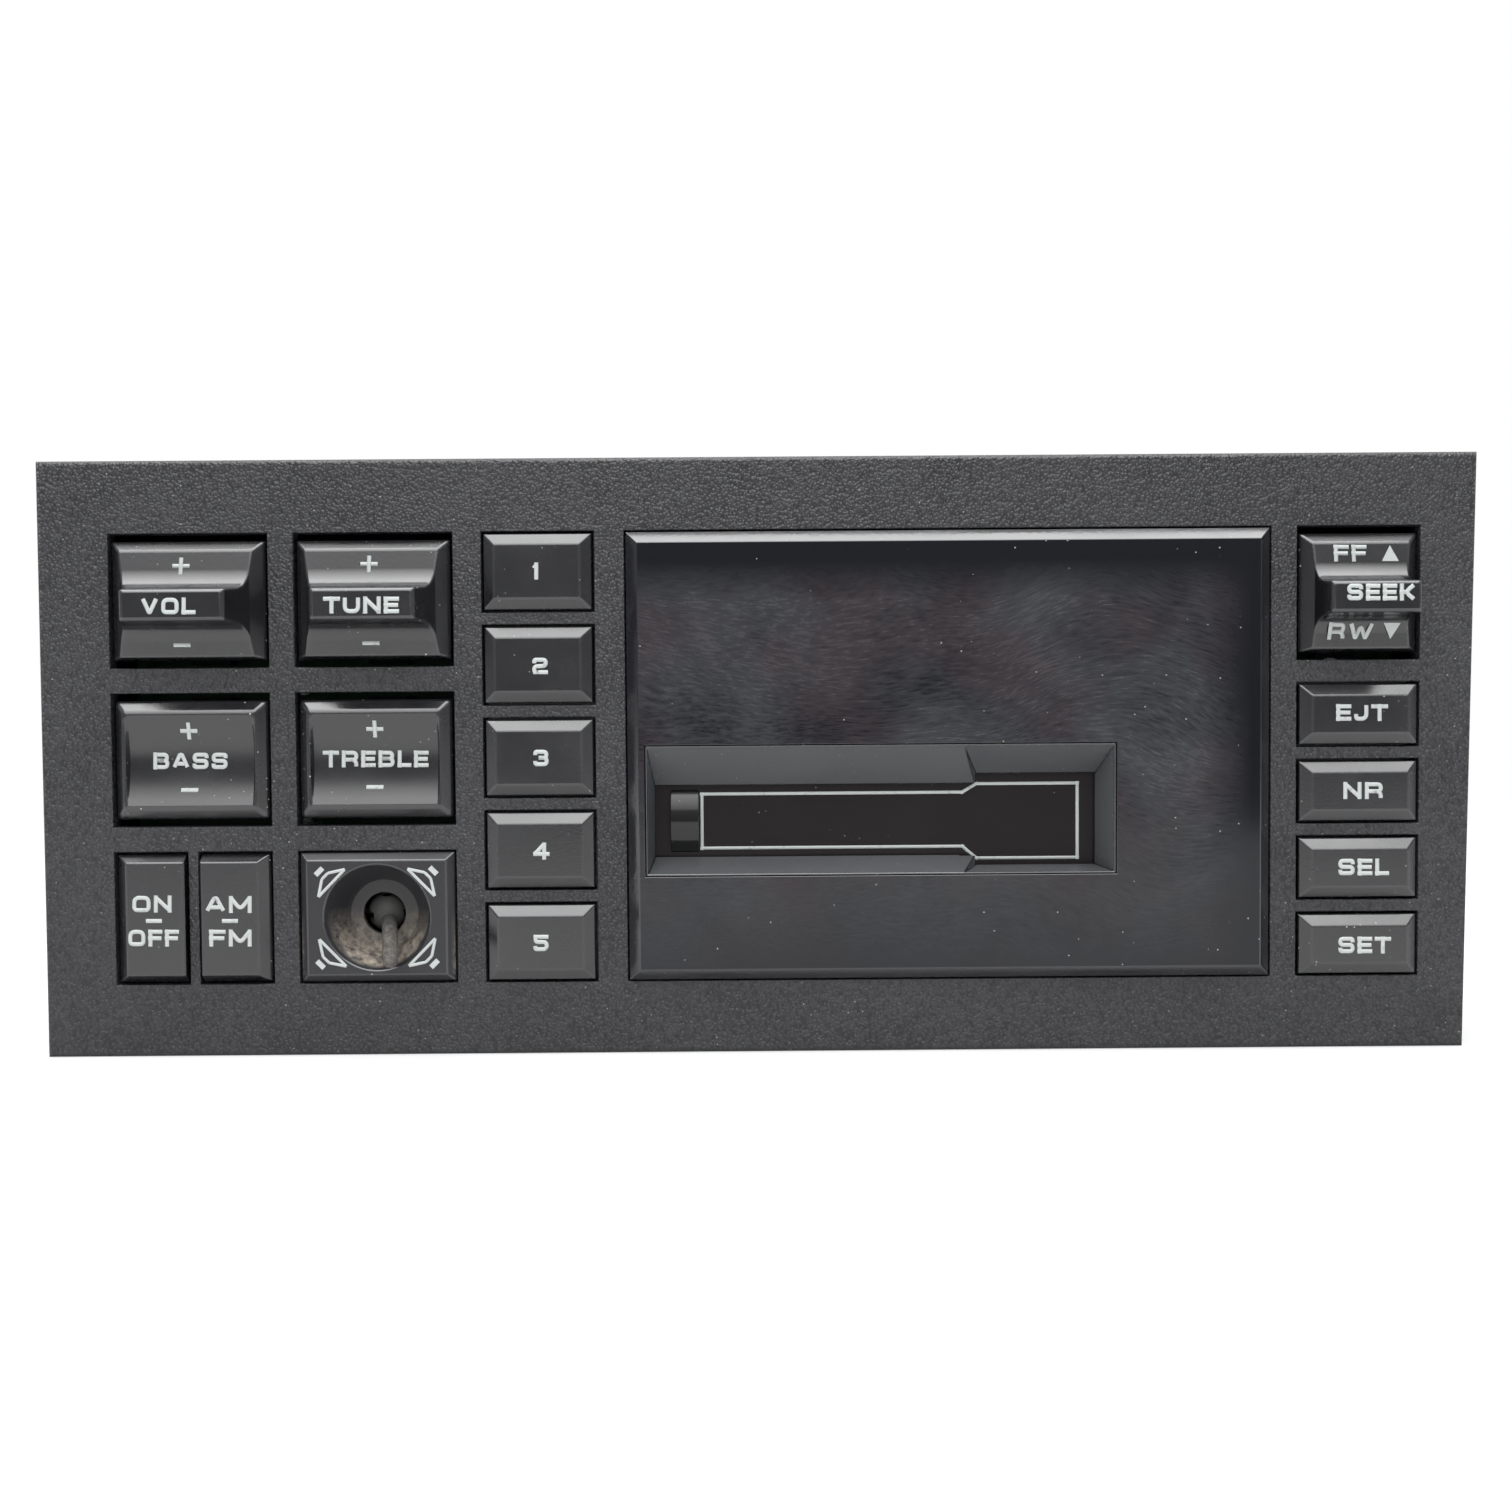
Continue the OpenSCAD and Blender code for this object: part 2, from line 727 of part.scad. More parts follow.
// Domed glossy block on the door that shows when a tape is in
module tape_indicator() color("#1c1c1f") {
    dome_r = (pow(indicator_h / 2, 2) + pow(indicator_proud, 2)) / (2 * indicator_proud);
    mid_x = slot_x - slot_w / 2 + indicator_inset + indicator_w / 2;
    translate([mid_x, door_y, slot_z]) intersection() {
        translate([0, dome_r - indicator_proud, 0]) rod_x(dome_r, -indicator_w / 2, indicator_w / 2);
        bar_y(indicator_w, indicator_h, -indicator_proud - over, 0);
    }
}

module door_pin() color("#b8babd") at_door_pivot()
    rod_x(pin_r, pin_lug_x[0] - ear_t / 2, pin_lug_x[1] + ear_t / 2);

// A tube swept along a path of points, closed at both ends
module swept_tube(path, r, sides) {
    n = len(path);
    function unit(v) = v / norm(v);
    function dir(i) = unit(path[min(i + 1, n - 1)] - path[max(i - 1, 0)]);
    function ring(i) = let (d = dir(i), u = unit(cross(d, [1, 0, 0])), w = cross(d, u))
        [for (k = [0:sides - 1]) path[i] + r * (cos(360 * k / sides) * u + sin(360 * k / sides) * w)];
    points = [for (i = [0:n - 1]) each ring(i)];
    walls = [for (i = [0:n - 2], k = [0:sides - 1])
        let (a = i * sides + k, b = i * sides + (k + 1) % sides)
        each [[a, b, a + sides], [b, b + sides, a + sides]]];
    caps = [for (k = [1:sides - 2]) each [[0, k + 1, k],
        [(n - 1) * sides, (n - 1) * sides + k, (n - 1) * sides + k + 1]]];
    polyhedron(points, concat(walls, caps));
}

// Torsion spring round the door's pin, beside its left ear
module door_spring() color("#8d9094") {
    steps = spring_turns * spring_steps;
    at_door_pivot() translate([ear_x[0] + ear_t / 2 + seat_gap + spring_wire_r, 0, 0])
        swept_tube([for (i = [0:steps]) let (a = 360 * i / spring_steps)
            [spring_len * i / steps, spring_r * cos(a), spring_r * sin(a)]],
            spring_wire_r, spring_sides);
}

// Paddle that a finger pushes up or down: a filleted profile on the rocker's front, with sloping ends
module paddle(front_w, root_w) {
    half = paddle_h / 2;
    land = -land_proud - land_crown;
    arc = [for (a = [0:18:90]) [paddle_reach - paddle_fillet * sin(a), land - paddle_fillet * (1 - cos(a))]];
    right = concat([[paddle_reach, land + paddle_root]], arc,
        [[half, -paddle_proud + paddle_round], [half - paddle_round, -paddle_proud]]);
    left = [for (i = [len(right) - 1:-1:0]) [-right[i][0], right[i][1]]];
    w0 = root_w / 2;
    w1 = front_w / 2;
    intersection() {
        along_x(2 * root_w) polygon(concat(right, left));
        linear_extrude(2 * rocker_h, center = true)
            polygon([[-w0, land + paddle_root], [-w0, land], [-w1, -paddle_proud + paddle_round],
                [-w1 + paddle_round, -paddle_proud], [w1 - paddle_round, -paddle_proud],
                [w1, -paddle_proud + paddle_round], [w0, land], [w0, land + paddle_root]]);
    }
}

// Cap of a paddled rocker: its front rises from both ends towards the paddle
module crowned_cap(w, h) {
    half = w / 2;
    top = h / 2;
    land = -land_proud - land_crown;
    intersection() {
        linear_extrude(h, center = true) polygon([[-half, cap_back], [-half, cap_edge],
            [-half + land_slope, land], [half - land_slope, land], [half, cap_edge], [half, cap_back]]);
        along_x(w) polygon([[-top, cap_back], [-top, cap_edge], [-top + land_low_bevel, -land_proud],
            [-paddle_drop - paddle_reach, land], [-paddle_drop + paddle_reach, land],
            [top - land_top_bevel, -land_proud], [top, cap_edge], [top, cap_back]]);
    }
}

// A rocker on two trunnions, dished or with a paddle, with a leg over each of its switches
module rocker(k) {
    w = k[2] - 2 * rocker_side_gap;
    h = rocker_h - 2 * rocker_end_gap;
    dished = k[3] == 0;
    dish_half = h / 2 - key_bevel;
    dish_r = (dish_half * dish_half + dish_depth * dish_depth) / (2 * dish_depth);
    reach = rocker_side_gap + lug_gap + lug_t - fit_gap;
    translate([k[0], 0, k[1]]) {
        difference() {
            union() {
                if (dished) bevel_block(w, h, -dish_proud, cap_edge, cap_back, key_bevel);
                else crowned_cap(w, h);
                for (s = [-1, 1]) {
                    translate([s * (w - cheek_t) / 2, 0, 0])
                        bar_y(cheek_t, 2 * lug_half, cap_back - embed, rocker_pivot_y + lug_half);
                    translate([0, 0, s * leg_z]) bar_y(leg_size, leg_size, cap_back - embed, leg_end);
                }
                translate([0, rocker_pivot_y, 0]) {
                    rod_x(trunnion_r, w / 2 - cheek_t / 2, w / 2 + reach);
                    rod_x(trunnion_r, -w / 2 - reach, -w / 2 + cheek_t / 2);
                }
            }
            if (dished) translate([0, dish_depth - dish_proud - dish_r, 0])
                rod_x(dish_r, -w / 2 + key_bevel + dish_margin, w / 2 - key_bevel - dish_margin);
        }
        if (!dished) translate([0, 0, -paddle_drop]) paddle(k[3], w - 2 * land_slope);
    }
}

// Cap of one key of a pair: bevelled on its outer side, and straight on the side of its neighbour
module pair_cap(w, h, front, back, side) {
    half = w / 2;
    top = h / 2;
    intersection() {
        linear_extrude(h, center = true) scale([side, 1]) polygon([[-half, back], [-half, cap_edge],
            [-half + key_bevel, front], [half - pair_round, front], [half, front + pair_round], [half, back]]);
        along_x(w) polygon([[-top, back], [-top, cap_edge], [-top + tall_bevel, front],
            [top - tall_bevel, front], [top, cap_edge], [top, back]]);
    }
}

// A push key with the flange that holds it behind the faceplate
module push_key(k) {
    flange_y = face_wall + fit_gap;
    w = k[2] - 2 * key_gap;
    h = k[3] - 2 * key_gap;
    translate([k[0], 0, k[1]]) {
        if (k[5] == 0)
            bevel_block(w, h, -k[4], -k[4] + key_bevel * bevel_slope, flange_y + eps, key_bevel);
        else
            pair_cap(w, h, -k[4], flange_y + eps, k[5]);
        bar_y(k[2] + 2 * flange_over, k[3] + 2 * flange_over, flange_y, flange_y + flange_t);
        rod_y(stem_r, flange_y + flange_t - eps, stem_end);
    }
}

module at_fader() translate([col_b, 0, -row_z]) children();

// Square cover with the bowl that the fader stick moves in
module fader_cover() color("#232325") at_fader() difference() {
    lug_reach = bar_r + fader_lug_rim;
    union() {
        bevel_block(rocker_w - 2 * fit_gap, rocker_h - 2 * fit_gap,
            -cover_proud, cover_bevel - cover_proud, face_wall + fit_gap, cover_bevel);
        bar_y(rocker_w + 2 * flange_over, rocker_h + 2 * flange_over,
            face_wall + fit_gap - eps, face_wall + fit_gap + flange_t);
        rod_y(bowl_floor_d / 2 + bowl_wall, face_wall - embed, floor_y + floor_t);
        for (s = [-1, 1]) translate([s * (fader_lug_x + fader_lug_t / 2), 0, 0])
            bar_y(fader_lug_t, 2 * lug_reach, floor_y + floor_t / 2, fader_y + lug_reach);
    }
    translate([0, -cover_proud - eps, 0]) rotate([-90, 0, 0])
        cylinder(r1 = bowl_d / 2, r2 = bowl_floor_d / 2, h = bowl_depth + eps);
    rod_y(fader_hole_r, floor_y - over, floor_y + floor_t + eps);
    bar_reach = fader_lug_x + 2 * fader_lug_t;
    translate([0, fader_y, 0]) rod_x(bar_r + run_gap, -bar_reach, bar_reach);
}

module at_fader_pivot() at_fader() translate([0, fader_y, 0]) children();

// Cross that lets the stick tip up and down on its bar, and left and right on its pin
module fader_gimbal() color("#9a9c9f") at_fader_pivot() rotate([stick_down, 0, 0]) {
    rod_x(bar_r, -bar_half, bar_half);
    cylinder(r = spider_r, h = 2 * (fader_ball_r - spider_short), center = true);
}

// Stick with its ball, slotted to pass over the cross
module fader_stick() color("#1d1d1f") at_fader_pivot()
    rotate([stick_down, 0, 0]) rotate([0, 0, stick_right]) difference() {
        union() {
            sphere(r = fader_ball_r);
            rod_y(stick_d / 2, -stick_len + stick_d / 2, 0);
            translate([0, -stick_len + stick_d / 2, 0]) sphere(r = stick_d / 2 + stick_tip_grow);
            rod_y(stick_d / 2 - fit_gap, 0, stick_tail);
        }
        slot_half = bar_r + 2 * run_gap;
        flare = fader_ball_r * flare_reach;
        flare_z = flare * flare_slope;
        for (s = [0, 180]) rotate([0, 0, s]) linear_extrude(2 * slot_half, center = true)
            polygon([[-slot_half, -slot_half], [slot_half, -slot_half - fit_gap], [flare, -flare_z],
                [flare, flare_z], [slot_half, slot_half + fit_gap], [-slot_half, slot_half]]);
        cylinder(r = spider_r + run_gap, h = 3 * fader_ball_r, center = true);
    }

module at_posts(list) for (p = list) translate([p[0], 0, p[1]]) children();

// Box behind the faceplate that carries the boards and joins the chassis
module nose_housing() color("#1f1f21") difference() {
    union() {
        difference() {
            along_y(nose_front, nose_depth) face_outline(nose_inset);
            along_y(nose_front - over, nose_back) face_outline(nose_inset + nose_wall);
            block([slot_x - way_half, nose_back - over, chassis_z0 + way_margin],
                [slot_x + way_half, nose_depth + over, tray_top - way_margin]);
        }
        at_posts(concat(LEFT_POSTS, RIGHT_POSTS)) rod_y(board_post_r, board_y + board_t, nose_back + embed);
        at_posts(DISPLAY_POSTS) rod_y(board_post_r, display_board_y + board_t, nose_back + embed);
    }
    at_posts(concat(LEFT_POSTS, RIGHT_POSTS)) rod_y(screw_r, board_y, board_y + board_t + screw_grip);
    at_posts(DISPLAY_POSTS) rod_y(screw_r, display_board_y, display_board_y + board_t + screw_grip);
    nose_posts(screw_r + fit_gap, nose_back - over, nose_depth + over);
    nose_posts(screw_head_r + fit_gap, nose_depth - screw_head_h, nose_depth + over);
    chassis_tab_holes(nose_back - over, nose_depth + over);
}

module chassis_tab_holes(y0, y1)
    for (sx = [-1, 1], sz = [-1, 1])
        translate([sx * (tray_half - tab_w / 2), 0, rear_mid_z + sz * tab_hole_z]) rod_y(screw_r, y0, y1);

// Printed circuit board behind the left-hand keys
module key_board() color("#2f5d3a") difference() {
    block([col_a - rocker_w / 2 - board_edge, board_y, -panel_h / 2 + board_edge],
        [col_p + preset_w / 2 + board_edge, board_y + board_t, panel_h / 2 - board_edge]);
    at_posts(LEFT_POSTS) rod_y(screw_r + run_gap, board_y - over, board_y + board_t + over);
}

module side_key_board() color("#2f5d3a") difference() {
    block([col_r - right_w / 2 - board_edge, board_y, -panel_h / 2 + board_edge],
        [col_r + right_w / 2 + board_edge, board_y + board_t, panel_h / 2 - board_edge]);
    at_posts(RIGHT_POSTS) rod_y(screw_r + run_gap, board_y - over, board_y + board_t + over);
}

// Tact switches, one under each key and two under each rocker, and the fader's sensor
module key_switches() color("#3b3b3d") {
    spots = concat([for (k = ROCKERS, s = [-1, 1]) [k[0], k[1] + s * leg_z]],
        [for (k = KEYS) [k[0], k[1]]]);
    at_posts(spots) {
        bar_y(switch_size, switch_size, board_y - switch_h, board_y);
        rod_y(plunger_r, plunger_y, board_y - switch_h + eps);
    }
    at_fader() bar_y(sensor_size, sensor_size, board_y - sensor_h, board_y);
}

module screw_at(y) {
    rod_y(screw_head_r, y - screw_head_h, y);
    rod_y(screw_r - run_gap, y - eps, y + screw_grip);
}

module board_screws() color("#a9abae") {
    at_posts(concat(LEFT_POSTS, RIGHT_POSTS)) screw_at(board_y);
    at_posts(DISPLAY_POSTS) screw_at(display_board_y);
}

// Screws that hold the nose housing to the faceplate's posts, sunk in its back wall
module nose_screws() color("#a9abae")
    for (sx = [-1, 1], sz = [-1, 1]) translate([sx * post_x, nose_depth - screw_head_h, sz * post_z])
        rotate([180, 0, 0]) screw_at(0);

// Liquid-crystal display in its metal frame
module display_module() color("#20302a") {
    z1 = display_top;
    glass_half = display_w / 2 - display_frame;
    difference() {
        block([col_w - display_w / 2, lens_seat + seat_gap, z1 - display_h],
            [col_w + display_w / 2, display_board_y, z1]);
        block([col_w - glass_half, 0, z1 - display_h + display_frame],
            [col_w + glass_half, lens_seat + seat_gap + display_step, z1 - display_frame]);
    }
}

module display_board() color("#2f5d3a") difference() {
    block([col_w - display_board_w / 2, display_board_y, display_top - display_h - display_board_lip],
        [col_w + display_board_w / 2, display_board_y + board_t, display_top + 2 * display_post_up]);
    at_posts(DISPLAY_POSTS) rod_y(screw_r + run_gap, 0, nose_depth);
}

// Steel tray with side bolt holes and the folded-in tabs that screw to the nose
module chassis_tray() color("#a8abb0") difference() {
    union() {
        difference() {
            block([-tray_half, nose_depth, chassis_z0], [tray_half, chassis_y1, tray_top]);
            block([-tray_half + sheet_t, nose_depth - over, chassis_z0 + sheet_t],
                [tray_half - sheet_t, chassis_y1 + over, tray_top + over]);
        }
        for (s = [-1, 1]) {
            translate([s * (tray_half - tab_w / 2), 0, rear_mid_z])
                bar_y(tab_w, tab_h, nose_depth, nose_depth + sheet_t);
            for (y = cover_screw_y) translate([s * (tray_half - tab_w / 2), y, tray_top - sheet_t / 2])
                cube([tab_w, tab_w, sheet_t], center = true);
        }
        for (p = BOARD_FEET) translate([p[0], p[1], chassis_z0 + sheet_t / 2])
            cylinder(r = foot_r, h = board_z - chassis_z0 - sheet_t / 2);
    }
    for (y = SIDE_HOLES) translate([0, y, rear_mid_z]) rod_x(side_hole_r, -chassis_w, chassis_w);
    chassis_tab_holes(nose_depth - over, nose_depth + 2 * sheet_t);
    for (s = [-1, 1], y = cover_screw_y) translate([s * (tray_half - tab_w / 2), y, tray_top])
        cylinder(r = screw_r, h = through, center = true);
}

// Lid with side lips and a field of cooling slots
module top_cover() color("#b3b6ba") difference() {
    union() {
        block([-chassis_w / 2, nose_depth + fit_gap, tray_top],
            [chassis_w / 2, chassis_y1, tray_top + cover_t]);
        for (s = [-1, 1]) translate([s * (chassis_w - cover_t) / 2, 0, tray_top - lip_h / 2])
            bar_y(cover_t, lip_h + eps, nose_depth + fit_gap + 2 * sheet_t, chassis_y1);
    }
    for (s = [-1, 1], y = cover_screw_y) translate([s * (tray_half - tab_w / 2), y, tray_top])
        cylinder(r = screw_r + run_gap, h = through, center = true);
    for (i = [0:7], j = [0, 1])
        translate([vent_x0 + i * vent_pitch, chassis_y1 - vent_back + j * vent_row_pitch, tray_top])
            cube([vent_w, vent_len, through], center = true);
}

// Back wall with the openings for the sockets and the stud
module rear_panel() color("#a8abb0") difference() {
    block([-tray_half, chassis_y1, chassis_z0], [tray_half, rear_y, tray_top]);
    y0 = chassis_y1 - over;
    y1 = rear_y + over;
    translate([aerial_x, 0, aerial_z]) rod_y(aerial_r + aerial_wall + fit_gap, y0, y1);
    translate([plug_x, 0, plug_z]) bar_y(plug_w + 2 * fit_gap, plug_h + 2 * fit_gap, y0, y1);
    translate([stud_x, 0, stud_z]) rod_y(stud_r + run_gap, y0, y1);
    translate([fuse_x, 0, plug_z]) bar_y(fuse_w + 2 * fit_gap, fuse_h + 2 * fit_gap, y0, y1);
}

// Screws of the lid and of the chassis tabs
module chassis_screws() color("#c0c2c5") {
    for (s = [-1, 1], y = cover_screw_y) translate([s * (tray_half - tab_w / 2), y, tray_top + cover_t])
        rotate([-90, 0, 0]) screw_at(0);
    for (sx = [-1, 1], sz = [-1, 1])
        translate([sx * (tray_half - tab_w / 2), nose_depth + sheet_t, rear_mid_z + sz * tab_hole_z])
            rotate([180, 0, 0]) screw_at(0);
}

// Finned aluminium block on the back wall
module heat_sink() color("#3c3e42") translate([sink_x, 0, rear_mid_z]) {
    fins = floor((sink_w - fin_t) / fin_pitch);
    bar_y(sink_w, sink_h, rear_y, rear_y + sink_base);
    for (i = [0:fins]) translate([(i - fins / 2) * fin_pitch, 0, 0])
        bar_y(fin_t, sink_h, rear_y + sink_base - eps, rear_y + sink_base + fin_h);
}

// Output amplifier, flat against the back wall opposite the heat sink, with its legs in the board
module power_amp() color("#1b1b1d") translate([sink_x, 0, 0]) {
    z0 = rear_mid_z - amp_h / 2;
    block([-amp_w / 2, chassis_y1 - amp_t, z0], [amp_w / 2, chassis_y1, z0 + amp_h]);
    for (i = [-5:5]) translate([i * amp_leg_pitch, chassis_y1 - amp_t / 2, 0])
        block([-amp_leg_half, -amp_leg_half, board_top], [amp_leg_half, amp_leg_half, z0 + eps]);
}

// Main circuit board on the tray's feet, with holes for the deck's standoffs
module main_board() color("#2f5d3a") difference() {
    block([-tray_half + sheet_t + board_margin, nose_depth + board_front, board_z],
        [tray_half - sheet_t - board_margin, chassis_y1 - board_back, board_top]);
    for (p = STANDOFFS) translate([p[0], p[1], board_z - over])
        cylinder(r = standoff_r + standoff_gap, h = through);
}

// Screened tuner in its tin can
module tuner_can() color("#c3c6c9")
    block([tuner_x - tuner_w / 2, tuner_y0, board_top],
        [tuner_x + tuner_w / 2, tuner_y0 + tuner_len, board_top + tuner_h]);

module capacitors() color("#27324f")
    for (c = CAPACITORS) translate([c[0] * (tray_half - c[1]), chassis_y1 - c[2], board_top])
        cylinder(r = c[3], h = c[4]);

// Supply choke: a laminated core with its winding
module choke() color("#6b5a3c") translate([choke_x, choke_y, board_top]) {
    for (z = [0, choke_plate + choke_coil_h]) translate([-choke_w / 2, -choke_d / 2, z])
        cube([choke_w, choke_d, choke_plate]);
    translate([0, 0, choke_plate - eps]) cylinder(r = choke_coil_r, h = choke_coil_h + 2 * eps);
}

module aerial_socket() color("#c9c3b0") translate([aerial_x, 0, aerial_z]) difference() {
    union() {
        rod_y(aerial_r + aerial_wall, chassis_y1 - aerial_in, rear_y + aerial_len);
        rod_y(aerial_r + aerial_wall + aerial_flange, rear_y, rear_y + aerial_flange_t);
    }
    rod_y(aerial_r, chassis_y1 - over, rear_y + aerial_len + over);
}

// Socket for the loom: an open box with two rows of blades
module harness_socket() color("#2a2a2c") translate([plug_x, 0, plug_z]) {
    difference() {
        union() {
            bar_y(plug_w, plug_h, chassis_y1 - plug_in, rear_y + plug_len);
            bar_y(plug_w + 2 * plug_flange, plug_h + 2 * plug_flange, rear_y, rear_y + plug_flange_t);
        }
        bar_y(plug_w - 2 * plug_wall, plug_h - 2 * plug_wall,
            chassis_y1 - plug_in + plug_floor, rear_y + plug_len + over);
    }
    for (i = [-2:2], s = [-1, 1]) translate([i * blade_pitch, 0, s * blade_row])
        bar_y(blade_w, blade_t, chassis_y1 - plug_in + plug_floor - embed, rear_y + over);
}

// Blade fuse in the back wall
module fuse() color("#b5562a") translate([fuse_x, 0, plug_z]) {
    bar_y(fuse_w, fuse_h, chassis_y1 - fuse_in, rear_y + fuse_out);
    bar_y(fuse_cap_w, fuse_cap_h, rear_y + fuse_out - eps, rear_y + fuse_out + fuse_cap_len);
}

// Threaded stud and its nut, which a bracket or rubber bush holds at the back
module support_stud() color("#b9bbbe") translate([stud_x, 0, stud_z]) {
    rod_y(stud_r, chassis_y1 - over, back_y);
    rod_y(stud_r + stud_head, chassis_y1 - stud_head_h, chassis_y1);
    difference() {
        translate([0, rear_y, 0]) rotate([-90, 0, 0]) cylinder(r = nut_r, h = nut_h, $fn = 6);
        rod_y(stud_r - eps, rear_y - over, rear_y + nut_h + over);
    }
}

// Steel plate that carries the tape drive, with its standoffs, guide posts and bearings
module deck_plate() color("#8f9297") difference() {
    union() {
        block([deck_x - deck_left, deck_y0, deck_z - deck_t], [deck_x + deck_right, deck_y1, deck_z]);
        for (p = STANDOFFS) translate([p[0], p[1], chassis_z0 + sheet_t])
            cylinder(r = standoff_r, h = deck_z - chassis_z0 - sheet_t - embed);
        for (g = GUIDES) deck_post(guide_pos(g), guide_r, carrier_z1 - deck_z);
        deck_post([capstan_x, capstan_y], capstan_r + bearing_wall, bearing_h);
        for (p = SLIDE_PINS) deck_post(p, slide_pin_r, slide_pin_h);
    }
    deck_hole([capstan_x, capstan_y], capstan_r + run_gap);
    for (s = [-1, 1]) deck_hole([hub_x, cassette_mid_y + s * hub_pitch / 2], reel_shaft_r + run_gap);
    deck_hole([motor_x, motor_y], motor_shaft_r + embed);
}

module deck_post(p, r, h) translate([p[0], p[1], deck_z - embed]) cylinder(r = r, h = h + embed);

module deck_hole(p, r) translate([p[0], p[1], deck_z]) cylinder(r = r, h = deep, center = true);

// Carrier that takes the cassette in and lowers it onto the spindles: a folded cover, open at the front,
// with a rail along each side, and open on the right where the head comes in
module cassette_carrier() color("#9da0a4") {
    x0 = deck_x - bay_w / 2;
    x1 = deck_x + bay_w / 2;
    back = bay_y1 + carrier_t;
    low = carrier_z0 - carrier_t;
    difference() {
        union() {
            difference() {
                block([x0 - carrier_t, bay_y0, low], [x1 + carrier_t, back, carrier_z1 + carrier_t]);
                block([x0, bay_y0 - over, carrier_z0], [x1, bay_y1, carrier_z1]);
                block([x0 + rail_w, bay_y0 - over, low - over],
                    [x1 - rail_w, back + over, carrier_z0 + embed]);
                block([x1 - rail_w - over, bay_y0 + hook_front, low - over],
                    [x1 + carrier_t + over, bay_y1 - hook_back, carrier_z1]);
            }
            for (g = GUIDES) {
                p = guide_pos(g);
                edge = deck_x + g[0] * (bay_w + carrier_t) / 2;
                end = p[0] + g[0] * guide_ear / 2;
                translate([(edge + end) / 2, p[1], slot_z])
                    cube([abs(end - edge), guide_ear, guide_ear_h], center = true);
            }
        }
        for (g = GUIDES) translate([guide_pos(g)[0], guide_pos(g)[1], slot_z])
            cylinder(r = guide_r + run_gap, h = deep, center = true);
    }
}

// Flywheel with the capstan as its shaft
module flywheel() color("#b4b0a4") translate([capstan_x, capstan_y, 0]) {
    z0 = flywheel_z1 - flywheel_h;
    difference() {
        translate([0, 0, z0]) cylinder(r = flywheel_r, h = flywheel_h);
        translate([0, 0, z0 - over]) difference() {
            cylinder(r = flywheel_r - flywheel_rim, h = over + flywheel_dish);
            cylinder(r = flywheel_hub_r, h = 2 * over + flywheel_dish);
        }
    }
    translate([0, 0, z0 - capstan_end]) cylinder(r = capstan_r, h = spindle_top - z0 + capstan_end);
}

// Reel spindle: a table, a shaft and a six-toothed drive
module reel(side) color("#d8d4c8") translate([hub_x, cassette_mid_y + side * hub_pitch / 2, 0]) {
    z0 = deck_z + seat_gap;
    shaft_z = deck_z - deck_t - reel_shaft_out;
    translate([0, 0, shaft_z]) cylinder(r = reel_shaft_r, h = spindle_top - shaft_z);
    translate([0, 0, z0]) cylinder(r = reel_table_r, h = reel_table_t);
    translate([0, 0, z0 + embed]) cylinder(r = reel_hub_r, h = spindle_top - embed - z0 - embed);
    for (a = [0:60:300]) rotate([0, 0, a])
        block([reel_shaft_r + embed, -reel_tooth_t / 2, z0 + embed],
            [reel_tooth_r, reel_tooth_t / 2, spindle_top - reel_tip]);
}

module supply_reel() reel(-1);

module takeup_reel() reel(1);

// Motor on the deck plate, with the bearing of its shaft
module deck_motor() color("#9fa2a6") translate([motor_x, motor_y, deck_z]) difference() {
    cylinder(r = motor_r, h = motor_h);
    translate([0, 0, -eps]) cylinder(r = motor_shaft_r + run_gap, h = motor_shaft_in + seat_gap);
}

// Pulley on the motor's shaft, which comes down through the deck plate
module motor_pulley() color("#b99a4a") translate([motor_x, motor_y, flywheel_z1 - flywheel_h]) {
    cylinder(r = pulley_r, h = flywheel_h);
    cylinder(r = motor_shaft_r, h = flywheel_h + flywheel_gap + deck_t + motor_shaft_in);
}

// Flat belt round the pulley and the flywheel
module drive_belt() color("#1a1a1a") translate([0, 0, belt_z]) linear_extrude(belt_h) difference() {
    belt_loop(belt_gap + belt_t);
    belt_loop(belt_gap);
}

module belt_loop(out) hull() {
    translate([capstan_x, capstan_y]) circle(r = flywheel_r + out);
    translate([motor_x, motor_y]) circle(r = pulley_r + out, $fn = 32);
}

// Slide that brings the head and the pinch roller up to the tape
module head_slide() color("#a3a6aa") {
    difference() {
        block([slide_x0, slide_y0, slide_z], [slide_x0 + slide_w, slide_y1, slide_z + slide_t]);
        for (p = SLIDE_PINS) translate([0, 0, slide_z - over]) linear_extrude(through) slide_slot(p);
        translate([capstan_x + head_travel, capstan_y, slide_z - over])
            cylinder(r = capstan_r + bearing_wall + fit_gap, h = through);
    }
    translate([pinch_x, capstan_y, slide_z + slide_t - eps]) {
        cylinder(r = pinch_axle_r + pinch_collar_wall, h = pinch_collar);
        cylinder(r = pinch_axle_r, h = pinch_collar + seat_gap + pinch_h);
    }
}

// A slot that runs to the right of its pin, as long as the slide's travel
module slide_slot(p) {
    r = slide_pin_r + fit_gap;
    translate(p) {
        circle(r = r);
        translate([0, -r]) square([head_travel, 2 * r]);
        translate([head_travel, 0]) circle(r = r);
    }
}

// Stereo head on the slide
module tape_head() color("#cfd1d4") translate([slide_x0, cassette_mid_y, slide_z + slide_t]) {
    translate([0, -head_w / 2, 0]) cube([head_d, head_w, head_base_h]);
    translate([head_nose, -head_w / 2 + head_step, head_base_h - eps])
        cube([head_d - 2 * head_nose, head_w - 2 * head_step, head_h - head_base_h]);
}

module pinch_roller() color("#232323")
    translate([pinch_x, capstan_y, slide_z + slide_t + pinch_collar + seat_gap]) difference() {
        cylinder(r = pinch_r, h = pinch_h);
        translate([0, 0, -over]) cylinder(r = pinch_axle_r + run_gap, h = pinch_h + 2 * over);
    }

// Places everything built on the face's frame in the unit's own frame
module placed() translate([0, frame_y, frame_z]) children();

